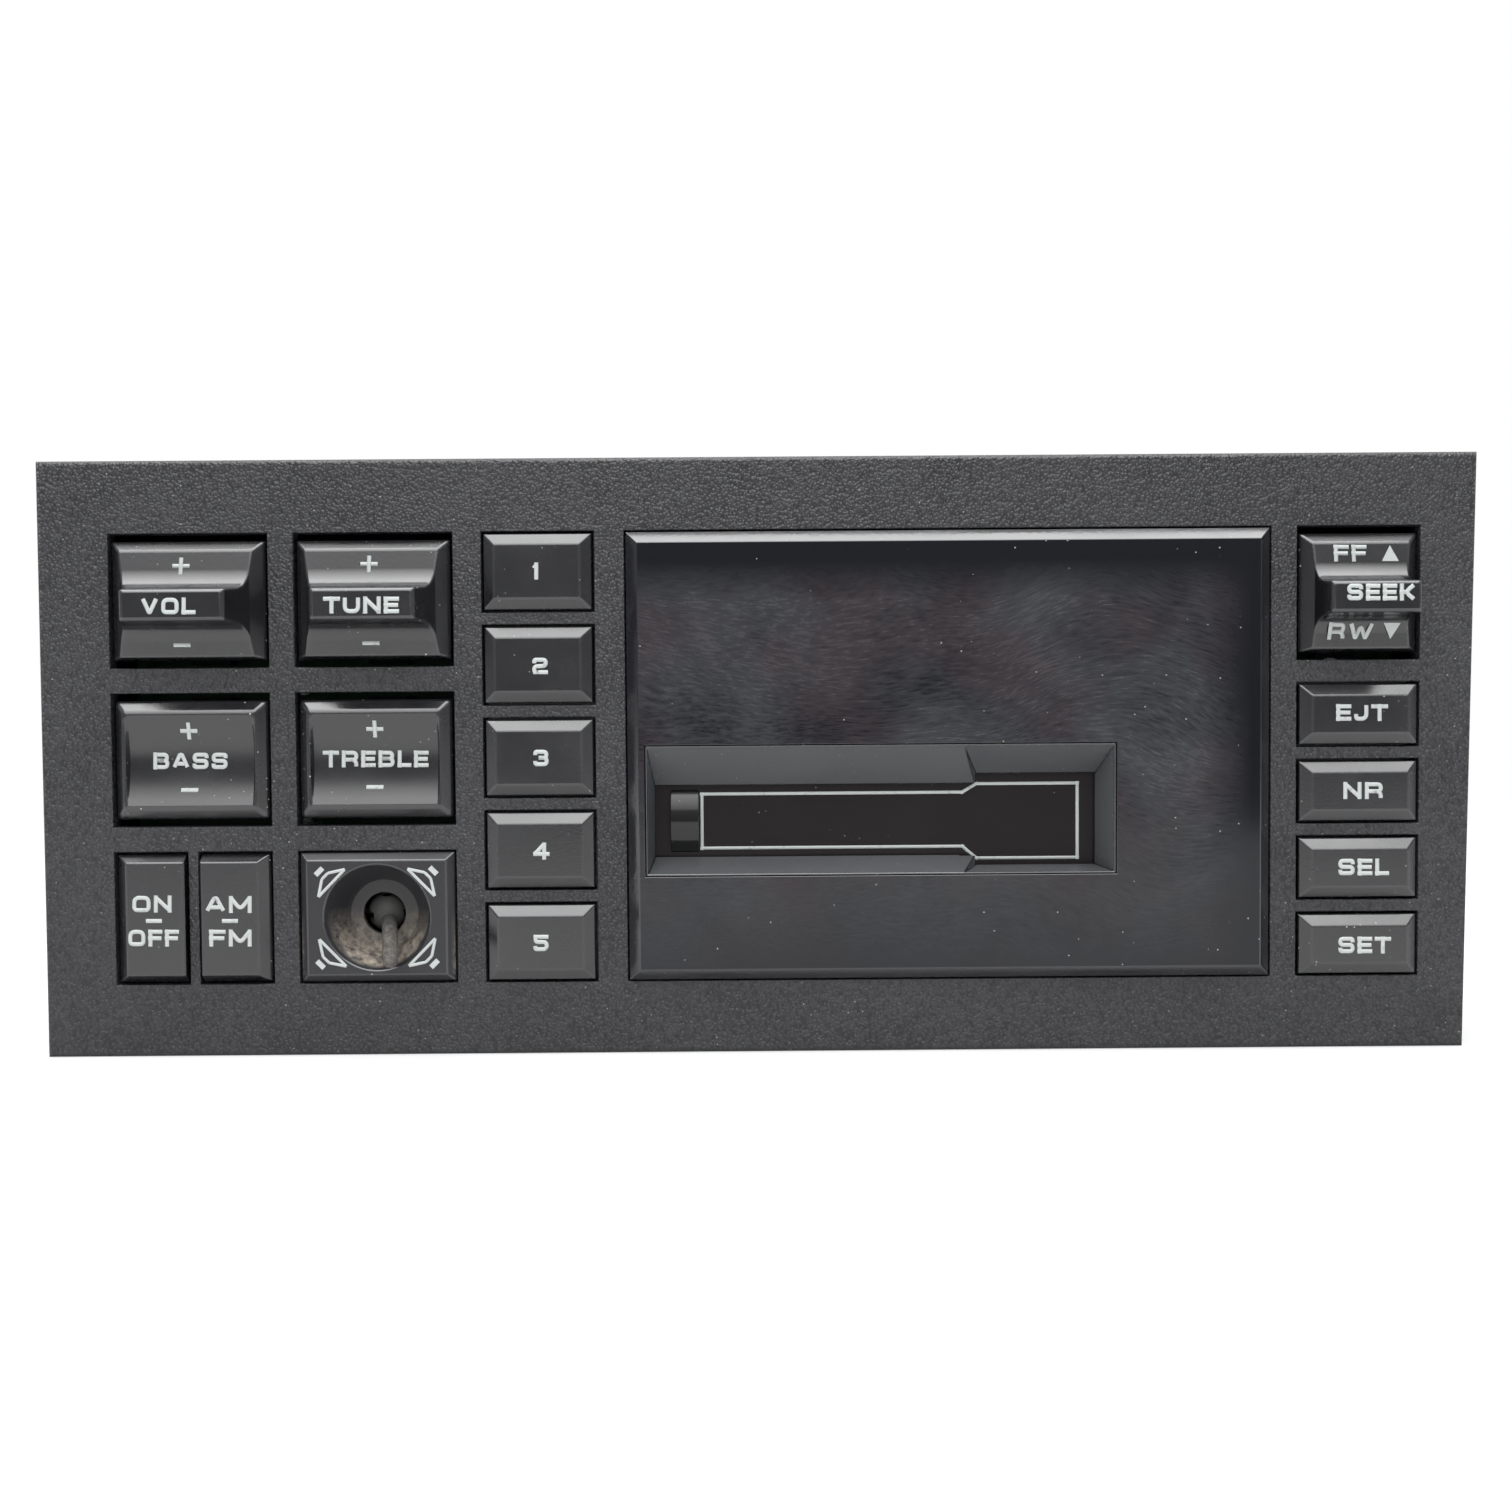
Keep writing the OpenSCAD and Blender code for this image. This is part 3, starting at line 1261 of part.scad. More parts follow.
placed() front_bezel();
placed() display_window();
placed() cassette_surround();
placed() cassette_door();
placed() tape_indicator();
placed() door_pin();
placed() door_spring();
for (i = [0:len(ROCKERS) - 1])
    placed() color("#202022") rocker(ROCKERS[i]);
for (i = [0:len(KEYS) - 1])
    placed() color("#232325") push_key(KEYS[i]);
placed() fader_cover();
placed() fader_gimbal();
placed() fader_stick();
placed() nose_housing();
placed() key_board();
placed() side_key_board();
placed() key_switches();
placed() board_screws();
placed() nose_screws();
placed() display_module();
placed() display_board();
placed() chassis_tray();
placed() top_cover();
placed() rear_panel();
placed() chassis_screws();
placed() heat_sink();
placed() power_amp();
placed() main_board();
placed() tuner_can();
placed() capacitors();
placed() choke();
placed() aerial_socket();
placed() harness_socket();
placed() fuse();
placed() support_stud();
placed() deck_plate();
placed() cassette_carrier();
placed() flywheel();
placed() supply_reel();
placed() takeup_reel();
placed() deck_motor();
placed() motor_pulley();
placed() drive_belt();
placed() head_slide();
placed() tape_head();
placed() pinch_roller();
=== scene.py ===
# %% [markdown]
# # A car cassette radio, dressed piece by piece
# The imported model gives every piece its size and place. This lesson loads it, sets the camera and a plain studio
# round it, and then gives each piece what the CAD solid lacks: worn edges with a painted highlight, moulded grain
# with painted shade in its grooves, printed words and dust.

# %% Load the imported radio
import json
import math

import bmesh
import bpy
from mathutils import Matrix, Vector
from mathutils.bvhtree import BVHTree


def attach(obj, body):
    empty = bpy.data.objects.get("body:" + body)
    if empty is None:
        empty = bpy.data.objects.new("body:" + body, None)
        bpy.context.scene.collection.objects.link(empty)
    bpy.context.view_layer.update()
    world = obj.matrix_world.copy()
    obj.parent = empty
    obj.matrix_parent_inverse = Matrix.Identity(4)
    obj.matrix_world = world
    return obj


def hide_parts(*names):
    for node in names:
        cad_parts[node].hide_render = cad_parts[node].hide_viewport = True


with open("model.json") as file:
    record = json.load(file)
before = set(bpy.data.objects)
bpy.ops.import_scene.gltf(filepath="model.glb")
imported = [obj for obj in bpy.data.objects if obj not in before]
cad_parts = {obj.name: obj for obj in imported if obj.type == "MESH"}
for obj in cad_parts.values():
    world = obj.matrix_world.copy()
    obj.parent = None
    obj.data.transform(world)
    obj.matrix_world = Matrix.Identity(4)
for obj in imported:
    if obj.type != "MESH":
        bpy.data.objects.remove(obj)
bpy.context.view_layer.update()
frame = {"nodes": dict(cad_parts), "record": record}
scene = bpy.context.scene
scene.view_settings.view_transform = "Standard"
MM = 0.001

# %% [markdown]
# ## One frame for everything on the face
# The faceplate's front is the plane that all its parts are measured from, so a small function turns millimetres on
# that plane (right, in, up) into metres in the scene, and another turns them back. Numbers could be written in metres
# straight away, but then nobody could check them against a ruler.

# %% Millimetres on the face
FACE = Vector((0.0, -0.07945, 0.04475))


def on_face(right, inward, upward):
    return FACE + Vector((right, inward, upward)) * MM


def from_face(place):
    return (place - FACE) / MM


print("top right corner of the face:", tuple(round(c, 4) for c in on_face(107.7, 0, 44.75)))

# %% [markdown]
# ## The camera
# The face was photographed from about 24 cm, a little above its middle, which is why the paddles lean outwards in
# the picture. The three axes of the camera are worked out from its tilt, turn and roll. A Track To constraint would
# be quicker, but it can't roll the camera.

# %% Set the camera
TILT, TURN, ROLL = math.radians(2.046), math.radians(0.171), math.radians(0.425)
DISTANCE, AIM_RIGHT = 0.240, -0.48
LENS_PIXELS, FRAME_PIXELS, SENSOR_MM = 1600, 1512, 36
ahead = Vector((math.sin(TURN) * math.cos(TILT), math.cos(TURN) * math.cos(TILT), -math.sin(TILT)))
level = Vector((math.cos(TURN), -math.sin(TURN), 0))
axes = Matrix((level, level.cross(ahead), -ahead)).transposed() @ Matrix.Rotation(-ROLL, 3, "Z")
eye = on_face(AIM_RIGHT, 0, 0) - DISTANCE * ahead
bpy.ops.object.camera_add()
camera = bpy.context.object
camera.data.sensor_width = SENSOR_MM
camera.data.lens = SENSOR_MM * LENS_PIXELS / FRAME_PIXELS
camera.data.clip_start = 0.01
camera.matrix_world = Matrix.Translation(eye) @ axes.to_4x4()
scene.camera = camera


def reach(ray, inward):
    """Where a ray from the eye meets the plane this many millimetres behind the face."""
    return eye + ray * ((FACE.y + inward * MM - eye.y) / ray.y)


def seen_at(column, row, inward):
    """The point on that plane which a pixel of the picture shows."""
    half = FRAME_PIXELS / 2
    return reach(axes @ Vector(((column - half) / LENS_PIXELS, (half - row) / LENS_PIXELS, -1)), inward)


print("camera at", tuple(round(c, 4) for c in eye), "lens", round(camera.data.lens, 2))

# %% [markdown]
# ## Colours and nodes
# Colours are written as the hex codes that a paint program shows, and one function turns them into the linear
# numbers that the renderer works in. Another small function adds a node, sets its options and wires its inputs, so
# that a finish reads as a list of steps. A node that is given as an input is linked by its first output.

# %% Colour and node helpers
def linear(code):
    parts = [int(code[i:i + 2], 16) / 255 for i in (1, 3, 5)]
    return [c / 12.92 if c <= 0.04045 else ((c + 0.055) / 1.055) ** 2.4 for c in parts] + [1.0]


def wire(tree, node, inputs):
    for socket, value in inputs.items():
        if isinstance(value, bpy.types.Node):
            value = value.outputs[0]
        if isinstance(value, bpy.types.NodeSocket):
            tree.links.new(value, node.inputs[socket])
        else:
            node.inputs[socket].default_value = value


def add(tree, kind, inputs=None, **options):
    node = tree.nodes.new("ShaderNode" + kind)
    for option, value in options.items():
        setattr(node, option, value)
    wire(tree, node, inputs or {})
    return node


def begin_finish(name, **sockets):
    """A new material with its shader's plain values set, and its Object coordinates."""
    material = bpy.data.materials.new(name)
    material.use_nodes = True
    tree = material.node_tree
    shader = tree.nodes["Principled BSDF"]
    wire(tree, shader, {socket.replace("_", " "): value for socket, value in sockets.items()})
    return material, tree, shader, add(tree, "TexCoord").outputs["Object"]


print("mid grey is", round(linear("#808080")[0], 4), "in linear light")

# %% [markdown]
# ## Studio light
# The radio was photographed on a white table in a room that was dim behind the camera, under a wide lamp above and a
# little to the left. The flats of the keys mirror the dim room and stay dark, while everything that tips upwards
# mirrors the lamp. So the sky is dim at eye level and brighter above, and one large soft lamp hangs over the front.
# The white backdrop behind the radio is what the camera sees, what glass lets through and what metal mirrors, and it
# adds no light to the object.

# %% Sky, lamp and floor
sky = bpy.data.worlds.new("studio_sky")
scene.world = sky
sky.use_nodes = True
tree = sky.node_tree
tree.nodes.clear()
rays = add(tree, "LightPath")
heading = add(tree, "SeparateXYZ", {"Vector": add(tree, "TexCoord").outputs["Generated"]})
backdrop = add(tree, "MapRange", {"Value": heading.outputs["Y"], "From Min": 0.0, "From Max": 0.3})
mirrored = add(tree, "Math", {0: rays.outputs["Is Glossy Ray"], 1: backdrop}, operation="MULTIPLY")
seen = add(tree, "Math", {0: rays.outputs["Is Camera Ray"], 1: rays.outputs["Is Transmission Ray"]},
           operation="MAXIMUM")
seen = add(tree, "Math", {0: seen, 1: mirrored}, operation="MAXIMUM")
height = add(tree, "MapRange", {"Value": heading.outputs["Z"], "To Min": 0.2, "To Max": 0.9})
even = add(tree, "Mix", {0: rays.outputs["Is Diffuse Ray"], 2: height, 3: 0.5})
fill = add(tree, "Background", {"Color": linear("#f4f6f8"), "Strength": even})
white = add(tree, "Background", {"Color": linear("#ffffff"), "Strength": 1.0})
both = add(tree, "MixShader", {0: seen, 1: fill, 2: white})
add(tree, "OutputWorld", {"Surface": both})

LAMP, LAMP_AIM = on_face(-150, -813, 1827), on_face(-150, 0, 0)
bpy.ops.object.light_add(type="AREA", location=LAMP)
softbox = bpy.context.object
softbox.name = "overhead_softbox"
softbox.data.shape = "RECTANGLE"
softbox.data.size = 2.5
softbox.data.size_y = 4.2
softbox.data.energy = 155
softbox.rotation_euler = (LAMP_AIM - LAMP).to_track_quat("-Z", "Y").to_euler()
# Its lower edge is feathered, so that a curved surface mirrors it with a soft border.
softbox.data.use_nodes = True
tree = softbox.data.node_tree
along = add(tree, "SeparateXYZ", {"Vector": add(tree, "NewGeometry").outputs["Parametric"]})
feather = add(tree, "MapRange", {"Value": along.outputs["Y"], "From Max": 0.6, "To Min": 0.2})
wire(tree, tree.nodes["Emission"], {"Strength": feather})

# The table ends 0.4 m in front of the radio, so the middle keys mirror the dim room beyond it.
TABLE, TABLE_FRONT = 4.0, -0.48
bpy.ops.mesh.primitive_plane_add(size=TABLE, location=(0, TABLE_FRONT + TABLE / 2, 0))
bpy.ops.object.transform_apply(location=True)
floor = bpy.context.object
floor.name = "floor"
paper, tree, shader, where = begin_finish("white_table_top", Roughness=0.9)
# A matt white table. It glows in part, for the camera and in mirrors, so it reads as white paper and still keeps the
# shadow.
cloudy = add(tree, "TexNoise", {"Vector": where, "Scale": 9.0, "Detail": 3.0})
tone = add(tree, "Mix", {0: cloudy, 6: linear("#e2e2e2"), 7: linear("#eaeaea")}, data_type="RGBA")
wire(tree, shader, {"Base Color": tone.outputs[2]})
rays = add(tree, "LightPath")
dim = add(tree, "MapRange", {"Value": rays.outputs["Is Glossy Ray"], "To Min": 1.0, "To Max": 0.4})
glow = add(tree, "Emission", {"Color": linear("#ffffff"), "Strength": dim})
seen = add(tree, "Math", {0: rays.outputs["Is Camera Ray"], 1: rays.outputs["Is Transmission Ray"]},
           operation="MAXIMUM")
# Beyond the lamp's reach the table would look grey, so its glow takes over with distance.
far = add(tree, "VectorMath", {0: where}, operation="LENGTH")
near = add(tree, "MapRange", {"Value": far.outputs["Value"], "From Min": 0.16, "From Max": 0.6, "To Min": 0.45})
share = add(tree, "Math", {0: seen, 1: near}, operation="MULTIPLY")
mirrored = add(tree, "Math", {0: rays.outputs["Is Glossy Ray"], 1: 0.4}, operation="MULTIPLY")
share = add(tree, "Math", {0: share, 1: mirrored}, operation="MAXIMUM")
both = add(tree, "MixShader", {0: share, 1: shader, 2: glow})
wire(tree, tree.nodes["Material Output"], {"Surface": both})
floor.data.materials.append(paper)
print("lamp:", softbox.data.energy, "W over", softbox.data.size, "x", softbox.data.size_y, "m")

# %% [markdown]
# ## Moulded plastic
# Most of the front is ABS. It was moulded in steel that was etched for the faceplate, which gives a leather grain
# about half a millimetre wide, and polished for the keys. Thirty years of hands and dust lie over both. One recipe
# makes them all: a grain that tilts the surface, grooves painted darker for dirt and painted shade, slow clouds of
# wear, and fine pale flecks of dust in patches.

# %% The recipe for moulded plastic
def moulded_plastic(name, deep, pale, grain_mm, grain_depth_mm, roughness, dust, gloss=0.5, fleck="#8f8d88"):
    material, tree, shader, where = begin_finish(name, IOR=1.54, Specular_IOR_Level=gloss)
    grain = add(tree, "TexVoronoi", {"Vector": where, "Scale": 1 / (grain_mm * MM), "Smoothness": 0.5},
                feature="SMOOTH_F1")
    ripple = add(tree, "TexNoise", {"Vector": where, "Scale": 1 / (2.0 * grain_mm * MM), "Detail": 4.0})
    relief = add(tree, "Math", {0: ripple, 1: grain.outputs["Distance"]}, operation="SUBTRACT")
    bump = add(tree, "Bump", {"Height": relief, "Distance": grain_depth_mm * MM, "Strength": 1.0})
    # Wear shows as clouds 14 mm wide.
    clouds = add(tree, "TexNoise", {"Vector": where, "Scale": 1 / (14 * MM), "Detail": 6.0, "Roughness": 0.6})
    # The grooves of a deep grain are painted darker and its tops paler, by a factor that grows with its depth. This
    # is partly dirt and rubbing, and partly painted shade of the grain, which the bump alone gives too weakly.
    shade = add(tree, "Math", {0: relief, 1: 8 * grain_depth_mm, 2: clouds}, operation="MULTIPLY_ADD")
    tone = add(tree, "Mix", {0: shade, 6: linear(deep), 7: linear(pale)}, data_type="RGBA")
    # Dust: one speck or none in each cell 1.1 mm wide, and more of them where the slow patches are high.
    specks = add(tree, "TexVoronoi", {"Vector": where, "Scale": 1 / (1.1 * MM)})
    chance = add(tree, "SeparateColor", {"Color": specks.outputs["Color"]})
    patches = add(tree, "TexNoise", {"Vector": where, "Scale": 1 / (24 * MM), "Detail": 2.0})
    likely = add(tree, "Math", {0: chance, 1: patches}, operation="ADD")
    kept = add(tree, "MapRange", {"Value": likely, "From Min": 1.29, "From Max": 1.45, "To Max": dust})
    dot = add(tree, "MapRange", {"Value": specks.outputs["Distance"], "From Min": 0.13, "From Max": 0.07})
    speck = add(tree, "Math", {0: dot, 1: kept}, operation="MULTIPLY")
    dusty = add(tree, "Mix", {0: speck, 6: tone.outputs[2], 7: linear(fleck)}, data_type="RGBA")
    matt = add(tree, "MapRange", {"Value": clouds, "From Min": 0.3, "From Max": 0.7,
                                  "To Min": roughness - 0.05, "To Max": roughness + 0.07})
    wire(tree, shader, {"Base Color": dusty.outputs[2], "Roughness": matt, "Normal": bump})
    return material


# After the two colours come the grain's width and depth in millimetres, the roughness and the amount of dust.
# Grained black ABS: dull, with a leather grain that catches tiny lights.
grained_abs = moulded_plastic("grained_black_abs", "#1d1d1f", "#353538", 0.42, 0.18, 0.44, 0.9)
# Satin black ABS: smooth to the finger, a soft bright line on every upper edge.
satin_abs = moulded_plastic("satin_black_abs", "#111114", "#18181b", 0.35, 0.004, 0.23, 0.7, 1.0)
# Worn ABS edge: paler than the flat beside it, partly rubbed by fingers and partly a painted highlight.
worn_and_highlight_abs = moulded_plastic("worn_black_abs_with_painted_highlight", "#1a1a1d", "#2a2a2d", 0.30, 0.008, 0.24, 1.0, 1.0, "#c8c2ba")
# Matt moulded ABS of the slot: greyer, a little dusty.
slot_abs = moulded_plastic("matt_grey_abs", "#424446", "#4f5153", 0.35, 0.014, 0.42, 0.7)
# Dark door moulding: a warm black.
door_abs = moulded_plastic("warm_black_abs", "#171214", "#1d1719", 0.30, 0.004, 0.34, 0.6, 0.25)
# Glass-filled nylon of the nose: plain black, faintly mottled.
nose_nylon = moulded_plastic("glass_filled_nylon", "#1d1d1f", "#28282a", 0.40, 0.012, 0.55, 0.3)
print("plastics:", [m.name for m in bpy.data.materials if "abs" in m.name])

# %% [markdown]
# ## Softer edges for a CAD piece
# A real moulding has no sharp edge. The piece is a copy of its CAD mesh: the loose triangles are merged, flat faces
# are joined again, the edges that show are picked by their place, and the Bevel operator rounds them. A live Bevel
# modifier on the node would round the hidden ribs as well. The narrow faces that Bevel makes can take a second,
# paler finish, which puts the rubbed look where fingers reach and a painted highlight on the edge.

# %% Helpers that copy and round
# Two places closer than so many millimetres count as one, and faces meeting at less than so many degrees look smooth.
NEAR, SMOOTH_UNDER = 0.01, 32


def only(piece):
    bpy.ops.object.select_all(action="DESELECT")
    piece.select_set(True)
    bpy.context.view_layer.objects.active = piece


def edit_all(piece):
    only(piece)
    bpy.ops.object.mode_set(mode="EDIT")
    bpy.ops.mesh.select_all(action="SELECT")


def cad_copy(node, *finishes):
    piece = bpy.data.objects.new(node + "_dressed", frame["nodes"][node].data.copy())
    scene.collection.objects.link(piece)
    piece.data.materials.clear()
    for finish in finishes:
        piece.data.materials.append(finish)
    edit_all(piece)
    bpy.ops.mesh.customdata_custom_splitnormals_clear()
    bpy.ops.mesh.remove_doubles(threshold=0.002 * MM)
    bpy.ops.mesh.dissolve_limited(angle_limit=math.radians(0.5))
    bpy.ops.object.mode_set(mode="OBJECT")
    return piece


def pick(piece, kind, wanted):
    """Selects the points, edges or faces that pass the test, and counts them."""
    bpy.ops.mesh.select_mode(type=kind)
    bpy.ops.mesh.select_all(action="DESELECT")
    shape = bmesh.from_edit_mesh(piece.data)
    picked = [part for part in {"VERT": shape.verts, "EDGE": shape.edges, "FACE": shape.faces}[kind] if wanted(part)]
    for part in picked:
        part.select_set(True)
    bmesh.update_edit_mesh(piece.data)
    return len(picked)


def round_edges(piece, width_mm, wanted, segments=3, finish=-1, sharper_than=25, longer_than=0.0):
    """Bevels the sharp edges whose two ends both pass the test, given as face millimetres."""
    def sharp(edge):
        folded = len(edge.link_faces) == 2 and edge.calc_face_angle(0) > math.radians(sharper_than)
        return (folded and edge.calc_length() > longer_than * MM
                and all(wanted(*from_face(point.co)) for point in edge.verts))

    only(piece)
    bpy.ops.object.mode_set(mode="EDIT")
    count = pick(piece, "EDGE", sharp)
    if count:
        bpy.ops.mesh.bevel(offset=width_mm * MM, segments=segments, profile=0.5, affect="EDGES",
                           clamp_overlap=False, material=finish)
    bpy.ops.object.mode_set(mode="OBJECT")
    return count


def settle(piece, body, node):
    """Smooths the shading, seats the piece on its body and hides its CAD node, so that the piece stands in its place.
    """
    only(piece)
    bpy.ops.object.shade_smooth_by_angle(angle=math.radians(SMOOTH_UNDER))
    even = piece.modifiers.new("even_shading", "WEIGHTED_NORMAL")
    even.keep_sharp = True
    bpy.ops.object.modifier_apply(modifier=even.name)
    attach(piece, body)
    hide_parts(node)
    return piece


print("helpers ready")

# %% [markdown]
# ## The faceplate
# One large moulding holds everything. Its outer edge is rounded by about a millimetre, and the edges of its
# openings are nearly crisp. Both sets lie in the front plane and differ only in how far out they are.

# %% Round the faceplate
bezel = cad_copy("front_bezel", grained_abs)
outer = round_edges(bezel, 0.8, lambda x, y, z: y < NEAR and (abs(x) > 107 or abs(z) > 44.2), segments=4)
inner = round_edges(bezel, 0.22, lambda x, y, z: abs(y) < NEAR and abs(x) < 106 and abs(z) < 43, segments=2)
settle(bezel, "root", "front_bezel")
print("faceplate:", outer, "outer and", inner, "opening edges,", len(bezel.data.polygons), "faces")

# %% [markdown]
# ## Keys
# The preset, function and tall keys are polished caps with sloping sides. Their edges are the part that shines, so
# the rim round the flat and the corners of the slopes are rounded in one pass, and painted pale: partly rubbed by
# fingers and partly a painted highlight.

# %% Round the keys
PRESETS = ["preset_key_%d" % number for number in range(1, 6)]
caps = {}
for key in ["power_key", "band_key", *PRESETS, "eject_key", "noise_key", "select_key", "set_key"]:
    cap = cad_copy(key, satin_abs, worn_and_highlight_abs)
    rim = round_edges(cap, 0.22, lambda x, y, z: y < 0.8, finish=1)
    caps[key] = settle(cap, key, key)
print("keys:", len(caps), "with", rim, "rounded edges each")

# %% [markdown]
# ## Rockers
# Two rockers are dished and three carry a paddle for a finger. They are the pieces that hands have polished most, so
# their caps are modelled afresh with even faces: a cube at the cap's size, its front inset and raised for the sloping
# sides, then cut into rows. The rows of a dish sink along an arc. The middle row of a paddle is extruded, narrowed,
# and filleted at its root. The legs and trunnions behind come from the CAD solid.

# %% Helpers for modelling a cap
CAP_EDGE, CAP_BACK, CAP_TALL = 0.6, 3.2, 17.8


def push_points(piece, wanted, inward, upward=0.0, across=1.0, middle=0.0):
    """Moves the points that pass the test, and brings them closer to a middle line by the factor across."""
    pick(piece, "VERT", lambda point: wanted(*from_face(point.co)))
    bpy.ops.transform.translate(value=(0, inward * MM, upward * MM))
    bpy.ops.transform.resize(value=(across, 1, 1), center_override=on_face(middle, 0, 0))


def cut_row(piece, upward):
    """Cuts the front and its left and right slopes at one height."""
    pick(piece, "FACE", lambda face: face.normal.y < -0.2 and abs(face.normal.z) < 0.3)
    bpy.ops.mesh.bisect(plane_co=on_face(0, 0, upward), plane_no=(0, 0, 1))


def blank_cap(right, upward, width, slope, proud):
    bpy.ops.mesh.primitive_cube_add(size=1, location=on_face(right, (CAP_EDGE + CAP_BACK) / 2, upward),
                                    scale=(width * MM, (CAP_BACK - CAP_EDGE) * MM, CAP_TALL * MM))
    cap = bpy.context.object
    bpy.ops.object.transform_apply(location=True, rotation=True, scale=True)
    cap.data.materials.append(satin_abs)
    cap.data.materials.append(worn_and_highlight_abs)
    bpy.ops.object.mode_set(mode="EDIT")
    pick(cap, "FACE", lambda face: face.normal.y < -0.9)
    bpy.ops.mesh.inset(thickness=slope * MM, depth=(proud + CAP_EDGE) * MM)
    return cap


print("cap:", CAP_TALL, "mm high")

# %% [markdown]
# The front of a dished cap is inset once more, which leaves a flat rim. What is inside the rim is cut into rows, and
# each row is pushed in by the depth of a circle's arc there, so the dish ends in two small walls.

# %% The dished cap
DISH_DEPTH, DISH_PROUD, DISH_RIM, DISH_SLOPE, DISH_ROWS = 1.25, 0.8, 0.5, 1.65, 16


def dished_cap(right, upward, width):
    cap = blank_cap(right, upward, width, DISH_SLOPE, DISH_PROUD)
    bpy.ops.mesh.inset(thickness=DISH_RIM * MM)
    half = CAP_TALL / 2 - DISH_SLOPE - DISH_RIM
    half_wide = width / 2 - DISH_SLOPE - DISH_RIM
    rows = [half * (2 * row / DISH_ROWS - 1) for row in range(1, DISH_ROWS)]
    for row in rows:
        cut_row(cap, upward + row)
    bend = (half * half + DISH_DEPTH * DISH_DEPTH) / (2 * DISH_DEPTH)
    for row in rows:
        in_row = lambda x, y, z: (y < -DISH_PROUD + NEAR and abs(z - upward - row) < NEAR
                                  and abs(x - right) < half_wide + NEAR)
        push_points(cap, in_row, math.sqrt(bend * bend - row * row) - (bend - DISH_DEPTH))
    bpy.ops.object.mode_set(mode="OBJECT")
    rim = lambda x, y, z: max(abs(x - right) - width / 2, abs(z - upward) - CAP_TALL / 2) > -DISH_SLOPE - 2 * NEAR
    round_edges(cap, 0.45, rim, segments=5, finish=1, sharper_than=28)
    return cap


print("dish:", DISH_DEPTH, "mm deep")

# %% [markdown]
# The front of a paddled cap is a low roof: it rises from both ends towards the paddle, and its side slopes widen with
# it. That tilt is why the part above the paddle mirrors the lamp and the part below it mirrors the table.

# %% The paddled cap
PADDLE_OUT, PADDLE_HIGH, PADDLE_ROOT, PADDLE_DROP = 7.3, 4.6, 5.8, 1.0
LAND_PROUD, LAND_SLOPE, LAND_LOW = 0.9, 1.5, 0.5


def paddled_cap(right, upward, width, front_wide, crown):
    cap = blank_cap(right, upward, width, LAND_SLOPE, LAND_PROUD)
    middle = upward - PADDLE_DROP
    push_points(cap, lambda x, y, z: y < -LAND_PROUD + NEAR and z < middle, 0, LAND_LOW - LAND_SLOPE)
    for side in (-1, 1):
        cut_row(cap, middle + side * PADDLE_ROOT / 2)
    land_wide = width - 2 * LAND_SLOPE
    root_wide = land_wide - 2 * crown
    beside = lambda x, y, z: y < -LAND_PROUD + NEAR and abs(z - middle) < PADDLE_ROOT / 2 + NEAR
    push_points(cap, beside, -crown, across=root_wide / land_wide, middle=right)
    pick(cap, "FACE", lambda face: (face.normal.y < -0.9
                                    and abs(from_face(face.calc_center_median()).z - middle) < 0.5))
    bpy.ops.mesh.extrude_region_move(TRANSFORM_OT_translate={"value": (0, (LAND_PROUD + crown - PADDLE_OUT) * MM, 0)})
    bpy.ops.transform.resize(value=(front_wide / root_wide, 1, PADDLE_HIGH / PADDLE_ROOT),
                             center_override=on_face(right, -PADDLE_OUT, middle))
    bpy.ops.object.mode_set(mode="OBJECT")
    root = lambda x, y, z: abs(y + LAND_PROUD + crown) < NEAR and abs(abs(z - middle) - PADDLE_ROOT / 2) < NEAR
    round_edges(cap, 2.2, root, segments=9)
    round_edges(cap, 0.55, lambda x, y, z: y < -PADDLE_OUT + NEAR, segments=5, finish=1)
    round_edges(cap, 0.32, lambda x, y, z: y < 0.7, segments=4, finish=1, sharper_than=34)
    return cap


print("paddle:", PADDLE_OUT, "mm out")

# %% Make the five rockers
# Right and up of the middle, width of the cap, width of the paddle's front, and the rise towards it.
ROCKERS = {"volume_rocker": (-85.1, 23.8, 22.9, 15.1, 0.7), "tuning_rocker": (-57.5, 23.8, 22.9, 15.1, 0.7),
           "bass_rocker": (-85.1, 0, 22.9, 0, 0), "treble_rocker": (-57.5, 0, 22.9, 0, 0),
           "seek_rocker": (89.875, 23.8, 17.55, 13.2, 0.5)}
for rocker, (right, upward, width, front_wide, crown) in ROCKERS.items():
    cap = paddled_cap(right, upward, width, front_wide, crown) if front_wide else dished_cap(right, upward, width)
    behind_cap = cad_copy(rocker, satin_abs)
    edit_all(behind_cap)
    bpy.ops.mesh.bisect(plane_co=on_face(0, CAP_BACK - NEAR, 0), plane_no=(0, -1, 0), use_fill=True, clear_outer=True)
    bpy.ops.object.mode_set(mode="OBJECT")
    only(cap)
    behind_cap.select_set(True)
    bpy.ops.object.join()
    # Filling the cut makes some hidden faces twice, and this deletes the doubles.
    cap.data.validate()
    cap.name = rocker + "_dressed"
    caps[rocker] = settle(cap, rocker, rocker)
    print(rocker, len(cap.data.polygons), "faces")

# %% [markdown]
# ## The smoked window
# The window is clear acrylic with a smoke tint, so what lies behind it is nearly black. What the eye sees is its
# surface: a haze of wiping marks, fine scratches and dust, thinner under the top edge. Its bevelled edge is sawn and
# flame polished, and gathers light.

